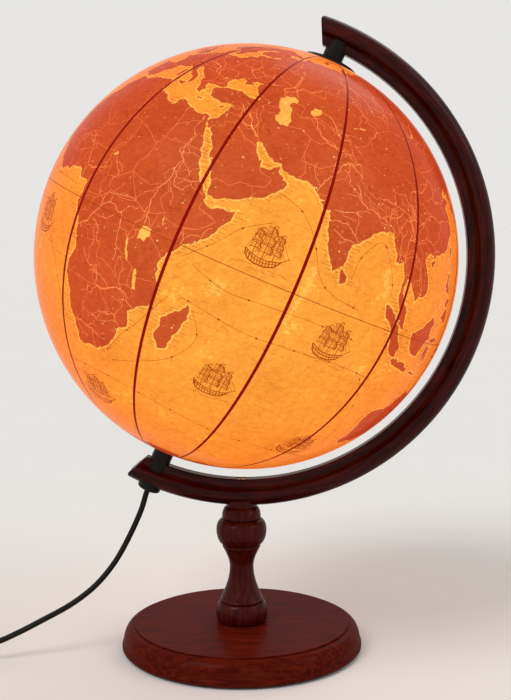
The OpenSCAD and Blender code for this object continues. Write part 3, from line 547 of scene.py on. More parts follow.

# The map's own outlines, as longitude,latitude, listed at about one point a degree or two
continents = {
    "africa": "-6,36 -5,35.5 -2,35 0,36 3,37 7,37 10,37.3 11,37 10.5,35.5 10,34 11,33.2 13,33 15,32.4 "
        "16,31.3 19,30.3 20,31 20,32.5 22,33 23.5,32.2 25,31.6 27,31.2 29,31 31,31.5 32.3,31.2 32.6,30 "
        "33.5,28 34,26.5 35.5,24 35.8,22.5 37,21 37.3,19 38.5,18 39.5,15.7 41,14.7 42.7,13 43.3,12 43,11.5 "
        "44.5,10.5 47,11.2 49,11.3 51.2,12 51,10.5 50,8.5 49,7 48,4.5 46,2.5 44,1 42.5,-0.5 41.5,-2 40,-3 "
        "39.3,-4.7 38.8,-6.3 39.5,-7 39.5,-9 40.5,-10.5 40.6,-13 40.7,-15 39.5,-16.7 37,-17.8 36,-19 "
        "34.8,-20 35.5,-22 35.5,-24 33,-25.3 32.8,-27 32,-29 30.5,-31 28.5,-32.7 26.5,-33.8 25.5,-34 "
        "22.5,-34 20,-34.8 18.5,-34.2 18.3,-32.5 17,-30 16.3,-28.5 15.2,-27 14.5,-25 14.4,-22.5 13,-20.5 "
        "11.8,-18 12,-16 12.7,-14 13.8,-12 13.7,-10.5 13.2,-9 12.2,-6 11.8,-4.5 10,-3 9,-1 9.3,0.5 9.5,2.3 "
        "9.7,4 8.8,4.6 7.5,4.4 6,4.4 5,5.8 4,6.4 1.5,6.2 -2,4.8 -4,5.3 -7.5,4.4 -9.5,5.5 -11.5,6.8 "
        "-13.2,8.8 -13.5,9.6 -15,11 -16.8,12.4 -17.4,14.7 -16.5,16 -16.3,19 -17,21 -16,23.7 -14.8,25.8 "
        "-13,27.8 -11,28.8 -9.8,30 -9.8,31.5 -8.5,33.3 -6.8,34.2",
    "eurasia": "32.6,30 34.3,28 35,29.5 35,28 37,25.5 38.5,23.5 39,21.5 41,19 42.5,16.5 43.2,13 45,12.8 "
        "48,14 51,15.2 53,16.8 55,17.3 57,19 58.5,20.5 59.8,22.5 58.5,23.6 56.5,24.8 56.3,26.3 55,25.3 "
        "54,24.2 52,24 51.5,25 51.3,26 50.8,25 50,26.6 48.8,28 48,29.8 49.5,30.2 51,28.8 52.5,27.5 "
        "54.5,26.6 56.5,27 57.3,25.7 60,25.3 62,25.2 65,25.3 66.6,25 67.2,24 68.8,22.8 70.3,22.9 69,22.2 "
        "70.5,20.8 72.3,21.3 72.7,19.5 73,17.5 74,15 75,12 76.3,9.8 77.5,8 78.3,9 79.8,10.3 80,13 80.3,15.5 "
        "82.2,16.6 84.8,19 87,21 88.5,21.7 90.5,22.3 91.8,22.3 92.5,20.5 94.3,18 94.3,16 95.5,15.8 97,17 "
        "97.8,15 98.6,12.5 98.3,9 99.2,7 100.4,5.5 100.6,3.8 101.5,2.7 103.5,1.4 104.2,1.5 103.4,4 "
        "103.2,5.8 101.5,7 100.3,8.5 99.3,10 99.9,12 100,13.3 101,13.3 102.2,12 103.5,10.7 105,8.7 "
        "106.7,10.2 109,11.5 109.2,13.5 108,16 106,18.7 105.8,19.9 108,21.5 110,21.4 109.8,20.3 110.6,20.6 "
        "111,21.5 113.5,22.2 116,22.8 118.5,24.6 120.5,27.5 122,30 121.5,31 120.5,33.5 119.2,35 120.5,36 "
        "122.5,37 120.8,37.8 118.8,37.4 118,39 121.5,40.8 121.5,39 124,40 125.3,38 126.5,37.3 126.3,35 "
        "127.5,34.6 129.3,35.3 129.3,37.2 127.5,39.5 129.7,41.5 131,42.7 133,42.8 136,44.5 139,47.5 "
        "140.5,50.5 141,53 138.5,54 137,54.2 135.3,55 138,57 143,59.3 149,59.5 155,59.3 156.5,61.3 160,61 "
        "162,61 161,60 157.5,57.8 156,56 156,52.5 156.8,51 158.5,52.8 160,55 162.5,56.5 163.5,59.5 166,60.2 "
        "170,60 172,61 174.5,62 177.5,62.5 179.3,63 178,65 180,65.5 183,66 187,65.5 190.3,66.2 186,67 "
        "180,69 176,69.8 170,70 165,69.5 160,69.8 154,71 147,72.3 140,72.5 133,71.5 129,71 127,73.5 120,73 "
        "114,73.7 110,74 107,76.8 104,77.7 100,76.3 93,75.8 87,75 80.5,73.5 80,72.2 76,72 74.5,72.8 73,71.5 "
        "73,68.5 71,66.5 72.5,68.3 70,72.8 67,70.5 68.5,68.3 64,69.3 60,68.8 55,68.4 53,68.5 48,67.6 "
        "44,68.5 43.5,66.3 40,64.7 37,65 34.5,64.5 33,66.5 41,66.7 40,67.8 33,69.4 28,71 21,70 16,68.5 "
        "13,65.5 10.5,64 5,62 5,59.5 7,58 10.5,59.2 11,58.5 12.5,56.3 14,55.4 16,56.5 17,58.7 19,60 "
        "17.2,61.5 19,63.2 21.5,65 24,65.8 25.3,65 21.5,63 21.5,61 23,59.9 28,60.4 30,60 25,59.4 23.5,58.7 "
        "24.3,57.3 21.5,57 21,55.5 19.5,54.4 16.5,54.4 14,54 11,54 10.5,57.5 8.2,56.8 8.5,54.3 7,53.4 "
        "4.5,52.2 3,51.2 1.5,50.3 -1.5,49.6 -1.5,48.6 -4.7,48.4 -2.5,47.3 -1.2,45.8 -1.5,43.5 -4,43.4 "
        "-8,43.7 -9,42.5 -8.8,40 -9.4,38.7 -8.8,37 -6.5,37 -5.5,36.1 -2.3,36.8 -0.5,38 0,39.7 3.2,41.9 "
        "3.3,43.2 6,43.1 8.5,44.3 10.3,43.6 12.3,41.7 15.3,40.2 16,38.2 17,39 16.7,40.3 18.4,40 16,41.8 "
        "14,42.7 12.4,44.3 12.4,45.4 13.7,45.5 15,44.3 16.5,43.4 19.4,41.9 19.4,40.3 21,38.9 21.5,37 "
        "23.3,36.6 23.2,38 24,38 22.9,39.4 23,40.5 26,40.8 29,41.1 28,43 30,45.2 31.3,46.6 33,46 33.5,44.6 "
        "35.3,45.2 36.8,45.4 35,46.3 39,47.2 38,46 39.5,43.6 41.6,42 41.4,41.2 38,41 35,42 31.5,41.3 29,41 "
        "26.3,40 26.5,38.5 27.5,36.9 30.5,36.6 32.5,36.1 34.5,36.7 36,36.7 35.8,35 35,32.8 34.3,31.3",
    "americas": "-168,65.6 -164,66.5 -162,66 -166,68.3 -163,69 -156.5,71.3 -150,70.4 -141,69.6 -135,69.3 "
        "-128,70.3 -124,69.8 -115,68 -108,68 -101,67.8 -95,68 -95,70 -94,72 -90.5,69 -88,68 -85.5,69.5 "
        "-82,69 -81.5,67.5 -86,66.3 -87,64.5 -93,62 -94.5,60 -94.5,58.8 -92.5,57 -88,56.5 -82.3,55 -82,53 "
        "-79.5,51.3 -79,54 -76.7,56.5 -78.5,58.7 -77.5,62.3 -73,62.2 -70,61 -69,59 -65.5,59.5 -64,60.3 "
        "-62,58 -60.5,55.5 -57.5,54.5 -56,52.5 -60,50.2 -66,50.2 -69,48.5 -65,49.2 -64.3,48 -65,46.5 "
        "-63.5,45.8 -61,45.5 -64.5,44 -66,43.6 -66.5,45 -70,43.6 -70.8,42 -70,41.7 -74,40.6 -75.5,38.5 "
        "-76,37 -75.7,35.3 -78,34 -81,31.8 -81.3,29.5 -80.1,26.8 -80.5,25.2 -81.8,26 -82.7,28 -84,30 "
        "-86.5,30.4 -89.5,30.2 -89.5,29.2 -91.5,29.5 -94,29.6 -97,28 -97.5,25.5 -97.8,22.5 -96,19.2 "
        "-94.5,18.2 -92,18.6 -90.7,19.3 -90.3,21 -87,21.5 -87.5,19.5 -88.2,17.5 -88.8,15.9 -86,15.8 "
        "-83.3,15 -83.5,12.5 -83.7,11 -82,9 -79.8,9.5 -77.5,8.5 -76.5,8.8 -75.5,10.5 -74,11.2 -71.8,12.3 "
        "-71.5,11 -70,12 -68.3,10.6 -64.5,10.2 -62,10.7 -60.5,8.5 -57,6 -54,5.8 -51.5,4.2 -50,1.5 "
        "-48.5,-0.8 -44.5,-2.5 -41.5,-2.9 -38.5,-3.8 -35.3,-5.3 -34.9,-8 -37,-11 -38.8,-13 -39,-17.5 "
        "-40.8,-21.5 -42,-23 -44.5,-23.2 -48,-25.5 -48.7,-28.5 -51.5,-32 -53.5,-34 -57.5,-34.7 -58.5,-34.2 "
        "-57,-36.5 -58,-38.2 -62,-39 -62.5,-41 -65,-41.2 -65,-43.5 -67.5,-46 -65.8,-47.5 -68.5,-50.5 "
        "-68.5,-52.5 -65.3,-54.7 -69,-55.4 -72,-53.7 -75,-51.5 -75.5,-48 -74,-45 -73.5,-41.5 -73.5,-38 "
        "-72,-34 -71.5,-30 -70.5,-25 -70.3,-18.5 -75,-15.5 -77.5,-12 -79.8,-7.5 -81.3,-5 -80.3,-3.3 "
        "-80.5,-1 -80,1 -78,2.5 -77.3,4 -77.8,7.5 -79.5,8.8 -80.3,7.5 -83,8.3 -85.7,10.3 -87.5,13 -91.5,14 "
        "-94.5,16.2 -99,16.7 -103,18.2 -105.5,20.2 -106,22.8 -109.3,26 -112.5,29.5 -114.8,31.7 -113,28.8 "
        "-110.5,24.5 -109.5,23 -112.2,25.5 -114.5,28 -116,30.5 -117.2,32.7 -120.6,34.5 -123,38 -124.3,40.5 "
        "-124,44 -124.5,48.3 -122.8,48 -123.2,49.2 -127.5,51 -130.5,54.5 -134,58 -138,59 -143,60 -148,60.8 "
        "-152,59.3 -151.5,61.2 -154,59 -158,57 -163,54.8 -162,56 -158,58.5 -162,58.7 -165,61 -164.5,63 "
        "-161,64 -165,64.5",
    "australia": "114,-22 113.5,-24 113.5,-26 115,-30 115.8,-32 115,-34.3 118,-35 120,-33.9 123.5,-34 "
        "126,-32.3 129,-31.6 131.5,-31.5 134,-32.7 135.5,-34.8 137.8,-32.8 137.5,-35.2 138.3,-35.4 "
        "140,-37.8 143.5,-38.8 146.4,-39 148,-37.9 150,-37.3 150.5,-35 152.7,-32 153.5,-28.5 153,-25.5 "
        "151,-23.5 149,-21 146.5,-19 146,-17 145.2,-15 143.8,-14.3 142.5,-10.8 141.7,-13 141.5,-16 "
        "140.5,-17.6 139,-17.3 136.5,-15.8 135.6,-14.8 137,-12.2 135,-12.1 132.5,-11.2 130.8,-12.4 "
        "129.5,-14.8 128,-15 126,-14 124,-16 122.3,-18 121,-19.6 117.5,-20.6",
    "antarctica": "-180,-78 -160,-78.5 -150,-77 -135,-74.5 -115,-74 -100,-72.5 -88,-73 -75,-73 -68,-70 "
        "-66,-66.5 -60,-64 -57,-63.3 -60,-66 -61.5,-70 -61,-74.5 -65,-77.5 -50,-78 -36,-78 -26,-75 "
        "-17,-72.5 -8,-71 5,-70 20,-70 33,-68.7 42,-68 50,-67 57,-66.8 69,-67.8 70,-70 75,-69.5 82,-66.7 "
        "95,-66.5 110,-66 125,-66.5 135,-66 147,-67.5 160,-69.5 170,-71.5 167,-74 163,-77.5",
}
islands = {
    "britain": "-5.5,50.2 -3.5,50.3 1.3,51.2 1.6,52.7 0.3,53 -0.5,54.5 -1.8,55.7 -3,56.2 -2,57.6 -4,57.8 "
        "-3.2,58.6 -5,58.6 -5.8,57 -5,55.2 -3.2,54.9 -3,53.4 -4.5,53.2 -4.5,52.2 -5.2,51.8 -3,51.4 "
        "-4.2,51.1",
    "ireland": "-6,52.3 -6,53.6 -5.6,54.7 -7.5,55.3 -10,54.2 -9.5,53.2 -10.3,52 -8,51.8",
    "iceland": "-22.5,64 -19,63.4 -15,64.3 -13.8,65 -16,66.4 -20,66 -22.5,66.4 -24,65.6 -22,65",
    "svalbard": "11,79 14,77.5 17,76.7 21,78 27,80 20,80.4",
    "novayaZemlya": "52,71.5 55.5,70.7 58,71.7 56,73.2 60,75.5 68,76.8 61,76.3 55.5,75 54,73",
    "severnaya": "95,79.2 100,78.2 105,79 97,81",
    "newSiberian": "137,75.8 143,73.6 150,75 142,76",
    "sicily": "12.5,38 15.5,38.2 15,36.7 12.7,37.5",
    "sardinia": "8.3,39 9.6,39.2 9.7,41 9.4,43 8.6,42.3 8.3,40.8",
    "crete": "23.6,35.3 26.2,35.2 24.8,34.9",
    "cyprus": "32.4,34.8 34.5,35.6 33.7,35 33,34.6",
    "sriLanka": "79.9,9.7 81.2,8.5 81.8,7 80.7,6 79.9,7",
    "madagascar": "49.3,-12 50.4,-15.5 49.5,-17 49.2,-19 47.8,-22.5 47,-25 45.2,-25.5 43.8,-23.5 43.5,-21.5 "
        "44.4,-19.8 44,-17.5 46,-15.7 47.8,-14.5",
    "sumatra": "95.3,5.6 97.5,5.2 100.3,2.8 103.5,0 104.5,-1.8 106,-3 105.8,-5.8 104.5,-5.8 102,-3.8 "
        "100.3,-1 98.7,1.7 96,4",
    "java": "105.2,-6.8 106.5,-6 108.5,-6.7 110.8,-6.4 112.7,-6.9 114.5,-7.8 114.3,-8.7 111,-8.3 108,-7.8",
    "borneo": "109,1.5 110,1.6 111.3,2.5 113,3.2 115.3,5.3 116.8,7 119,5.2 117.8,3.5 118,2.2 119,1 "
        "117.5,0.5 116.5,-2 116,-3.8 114.5,-4 111.5,-3.3 110,-1.5 109,0.3",
    "sulawesi": "119.5,-5.5 120.4,-5.6 120.4,-3 121.5,-4.6 122.6,-5 122.2,-3.5 121.5,-2 123.3,-0.9 121,-1.3 "
        "120.3,-0.5 120.3,0.5 123,0.4 125.2,1.5 120,1.2 119.8,-0.5 119,-3",
    "newGuinea": "131,-0.8 134,-0.8 135,-3.3 137.8,-1.5 141,-2.6 144.5,-3.8 146,-5.5 147.8,-6 147,-6.8 "
        "148.5,-9 150.8,-10.3 149.5,-10.3 147,-9.5 144.7,-7.7 143,-9 141,-9.1 138,-8.3 138,-7 135,-4.5 "
        "132.8,-4 133.7,-2.5 132,-2.2",
    "luzon": "120.5,16 120.6,18.5 122.2,18.4 121.6,16 124,13 122,13.7 120.7,13.8 120.1,15",
    "mindanao": "122,7 123.4,8.6 125.4,9.8 126.5,7.5 125.5,5.7 124,6.8",
    "visayas": "122.5,10.5 123,11.5 124.5,12.3 125.4,11.5 124,10",
    "palawan": "117.3,8.4 119.3,10.6 119.6,11.3 118,9",
    "taiwan": "120.2,23 121,25.2 121.9,25 121,22",
    "hainan": "108.7,19.3 110.5,20.1 111,19.5 109.5,18.2",
    "honshu": "130.2,31.3 129.8,33 131,34 133,35.5 136,35.8 137,37.4 138.7,37.8 140,39.5 140.2,41.2 "
        "141.5,41.3 142,39.5 141,38 140.8,35.7 139.5,35 137,34.6 135.8,33.5 135,34.6 132.5,34.2 131.8,33.5 "
        "131.4,31.5",
    "hokkaido": "140,41.6 140.4,43.3 141.7,45.4 145.2,43.8 145.5,43.2 143.2,42 141,42.5",
    "shikoku": "132.4,33 134.3,34.3 134.3,33.4 133,32.8",
    "sakhalin": "142,46 142,49 142,53 142.7,54.3 143.3,52 144.5,49 142.8,49 143.5,46.8",
    "timor": "124,-10.2 127,-8.5 125,-9.2",
    "flores": "117,-8.4 119,-8.5 123,-8.3 121,-9 117,-9",
    "halmahera": "127.7,0 128.5,1.8 128.2,-0.8",
    "seram": "128,-3.3 130.8,-3.2 130,-3.7",
    "newBritain": "148.5,-5.7 151.5,-5 152.2,-4.3 151,-6.2",
    "newCaledonia": "164,-20.2 167,-22.2 166,-22.3",
    "tasmania": "144.7,-40.8 148.2,-40.8 148,-43 146.7,-43.6 145.3,-42.5",
    "zealandNorth": "172.8,-34.5 175.5,-36.8 178.4,-37.7 177,-39.5 175.3,-41.6 174,-39.5 174.8,-37.8",
    "zealandSouth": "172.7,-40.6 174.2,-41.5 172.8,-43.8 170.8,-45.8 168.5,-46.6 166.6,-46 168.3,-44 "
        "171,-42.5",
    "vancouver": "-128,50.7 -125,48.7 -123.5,48.4 -125,50",
    "baffin": "-90,73 -85,73.5 -78,72.5 -72,71 -67,69 -62,66.7 -65,65 -66,62.5 -72,64 -77,65.5 -73,67.5 "
        "-78,70 -85,70 -89,71",
    "victoriaIsland": "-117,70.5 -114,72.8 -105,73 -104,70 -107,68.8 -115,69",
    "banks": "-125,72 -121,74.3 -116,73.3 -121,71.3",
    "ellesmere": "-90,76.5 -80,76.3 -77,78.5 -65,81.5 -63,82.8 -75,83 -90,81.5",
    "devon": "-92,76.5 -80,75.5 -81,74.7 -92,74.8",
    "melville": "-115,75 -106,75 -108,76 -116,76.3",
    "somerset": "-100,73 -92,74 -91,72.5 -97,71.7",
    "southampton": "-86,65.5 -81,64 -84,63 -87,63.7",
    "newfoundland": "-59.3,47.7 -57,51.5 -55.5,50 -53,47 -56,46.9",
    "greenland": "-73,78.2 -66,80.5 -60,82 -45,82 -32,83.6 -20,81.5 -18,78 -20,74.5 -22,72 -25,70.3 -32,68 "
        "-38,65.8 -42,62.5 -43.5,60 -48,61 -52,65 -54,67.5 -51.5,69.8 -55,71.5 -58,74.8 -66,76",
    "cuba": "-85,21.9 -82.5,23.1 -79,22.7 -75,20.7 -74.2,20.2 -77.5,19.9 -78,20.8 -81.5,22",
    "hispaniola": "-74.4,18.5 -72.8,20 -69.8,19.7 -68.4,18.6 -71,17.8",
    "jamaica": "-78.3,18.4 -76.3,18 -77.5,17.8",
    "puertoRico": "-67.2,18.4 -65.7,18.3 -67,18",
    "falklands": "-61,-51.8 -58,-51.5 -59.5,-52.3",
}
lakes = {
    "caspian": "47,44.8 48.5,46.3 51.5,47 53,46.5 53,45.3 51.2,44.8 51,43.5 52.5,42.5 52.8,41 53.8,39 "
        "53.8,37.2 51.5,36.8 49.5,37.5 48.9,38.6 49.5,40.4 48.3,42 47.4,43.5",
    "aral": "58.3,45 59,46.4 61.5,46.6 61.8,45 60,43.6 58.4,43.8",
    "victoria": "31.5,-0.8 31.9,0.3 33,0.7 34.4,0.5 34.6,-1 33.9,-1.6 33.6,-2.8 32.6,-2.4 31.7,-2.9",
    "tanganyika": "29.2,-3.4 29.8,-4.5 29.9,-6 30.9,-7.5 31.3,-8.7 30.5,-8.2 29.5,-6.5 29,-4.5",
    "malawi": "33.9,-9.4 34.7,-10.6 35,-12.5 35.5,-14.3 34.6,-14.3 34,-12.5 33.7,-10.8",
    "turkana": "36,4.5 36.3,3.5 36.7,2.5 36.3,2.5 35.9,3.6",
    "baikal": "104,51.5 106,52.2 108.5,53.5 109.8,55.7 109,55.3 107,53.3 105,52",
    "balkhash": "74,45.1 76.5,46.5 79,46.7 76,46.1 74.2,45.7",
    "ladoga": "31,60 33,61 32,61.7 30.3,61",
    "chad": "13.5,12.8 15,13.2 14.3,14",
    "superior": "-92,46.8 -88,48.5 -84.8,46.7 -88,46.8",
    "michigan": "-87.5,41.8 -87.8,44.5 -85,45.8 -86.3,43",
    "huron": "-84.5,45.9 -80,45.8 -81.7,43.3 -83.5,44",
    "erie": "-83.3,41.7 -80.5,42.6 -79,42.8 -82,41.5",
    "ontario": "-79.6,43.3 -76.3,44 -76.5,43.5",
    "greatBear": "-123,66 -119,66.8 -119,65.5",
    "greatSlave": "-116,61 -111,62.5 -112,61.3",
    "winnipeg": "-98.5,53.5 -97,52 -96.5,50.5 -98.5,51.5",
    "titicaca": "-70,-15.5 -69,-16.5 -69.7,-16.3",
}
rivers = {
    "nile": "31,31 30.8,27 32.8,25 31,20 33.5,18 32.5,15.5 32.5,12 31.5,9 31.5,5 32,1",
    "blueNile": "32.5,15.5 34.5,12 37.5,11.8",
    "congo": "12.3,-6 15.5,-4 17,-1 18.5,1 22,2.2 25,1 26,-2 26.5,-6 27,-10",
    "niger": "6,4.5 6.5,8 4,12 0,16 -4,14.5 -7,12",
    "zambezi": "36,-18.8 33,-16 30,-15.7 27,-17.5 23.5,-17 22.5,-13",
    "orange": "16.5,-28.6 20,-28.5 24,-29 27,-30.5",
    "limpopo": "33.5,-25 31,-22.4 28,-23",
    "ubangi": "18,-0.5 18.6,4.3 23,4.8 27,5",
    "kasai": "17,-3.2 20,-5 21.5,-8",
    "benue": "6.8,7.8 10,8 13.5,9.3",
    "chari": "15,12.8 17,10.5 19,8.5",
    "juba": "42.5,-0.3 42,3",
    "tigris": "47.5,31 44.3,33.4 42,36.5 40,38",
    "euphrates": "47,31 43,33 39.5,35.5 38.5,38",
    "indus": "67.5,24.2 68.5,27.5 71,30 72.5,33.5 75,34.8 79,32.5",
    "ganges": "90,22.5 88,24.8 84,25.6 80,26.5 78,30",
    "brahmaputra": "90,23.5 89.8,25.5 93,26.8 95,28.5 91,29.3 85,29.3",
    "godavari": "82,16.7 79,19 75,19.8",
    "krishna": "80.8,16 77,16.3 74.5,17.5",
    "narmada": "73,21.7 77,22.6 81,22.7",
    "irrawaddy": "95.3,16 95,20 96.5,24.5",
    "salween": "97.6,16.5 97.8,20 98.8,25 96,31",
    "mekong": "106,10 105.5,14 104,17.5 101,20 99.5,25 98,30",
    "yangtze": "121.5,31.5 117,31 113,30 108,30.8 104.5,28.5 101,26.5 99,30 95,33.5",
    "huangHe": "118.8,37.7 115,35.5 110.5,34.6 110.5,38.5 108,40.7 105.5,37.5 102,35.5 98,34.8",
    "xi": "113,22.5 109,23.5 105,24.5",
    "amur": "141,53 138,51 135,48.4 131,47.8 127,50.5 121,53.3 113,50",
    "lena": "126.5,72 124,67 129,63 125,60.5 113,60 108,55",
    "yenisei": "82.5,71 86.5,66.5 88,62 91,58 92.5,55",
    "angara": "93,58 100,58.5 103,54 104.5,52",
    "ob": "72,66.5 66,64 68,61 76,60.5 82,57 84,53.5",
    "irtysh": "68.5,61 70,57.5 76,53.5 80,50 85,47.5",
    "volga": "48,46 46,48.5 50,53 49,55.8 44,56.5 38.5,58 34,57",
    "ural": "52,47.2 51.5,51 56,51.2 59,54",
    "don": "39.5,47.2 43,48.5 40,51 39,53",
    "dnieper": "32.5,46.6 35,48.2 31,50.5 31,54",
    "danube": "29.7,45 27,44.2 22.5,44.5 20,45.3 19,47.7 16,48.2 10,48.7",
    "rhine": "4,52 6.7,51.5 8,49.5 8,47.6",
    "syrDarya": "61,46 67,44 69,41 74,40.5",
    "amuDarya": "59,43.8 62,40.5 67,37.3 72,37.3",
    "murray": "139,-35.3 142,-34 147,-36",
    "darling": "142,-34 145,-30.5 149,-28",
    "mississippi": "-89.5,29.3 -91,32 -90,36 -91,40.5 -93,45 -95,47.3",
    "missouri": "-90.3,38.8 -95,40.5 -99,43.5 -104,48 -111,47",
    "ohio": "-89.2,37 -85.5,38.2 -80.5,40.5",
    "colorado": "-114.7,32 -114.5,36 -110,38.3 -106.5,40",
    "rioGrande": "-97.2,26 -101,29.3 -106,31.8 -106.3,37",
    "mackenzie": "-135,69 -129,66 -123,62 -117,61.3",
    "yukon": "-164,62.8 -158,64.7 -150,65.5 -140,64 -134.5,61",
    "columbia": "-124,46.2 -119,46 -118,49 -117,51",
    "amazon": "-50,-0.5 -55,-2.2 -60,-3.2 -65,-3 -70,-4 -74,-4.8 -76,-8",
    "negro": "-60,-3.1 -63,-1 -66,1.5",
    "madeira": "-58.8,-3.5 -62,-7 -65,-10 -66,-14",
    "tocantins": "-49,-1.7 -49.5,-6 -48.3,-11 -49,-15",
    "saoFrancisco": "-36.5,-10.5 -40,-9 -43.5,-12 -45,-18.5",
    "parana": "-58.5,-34 -60.5,-32 -58.5,-27.3 -54.5,-25 -51,-20 -47.5,-18.5",
    "paraguay": "-58.6,-27.3 -57.7,-22 -57.8,-16.5",
    "orinoco": "-61.5,8.7 -66,7.7 -67.5,5 -65,2.7",
}
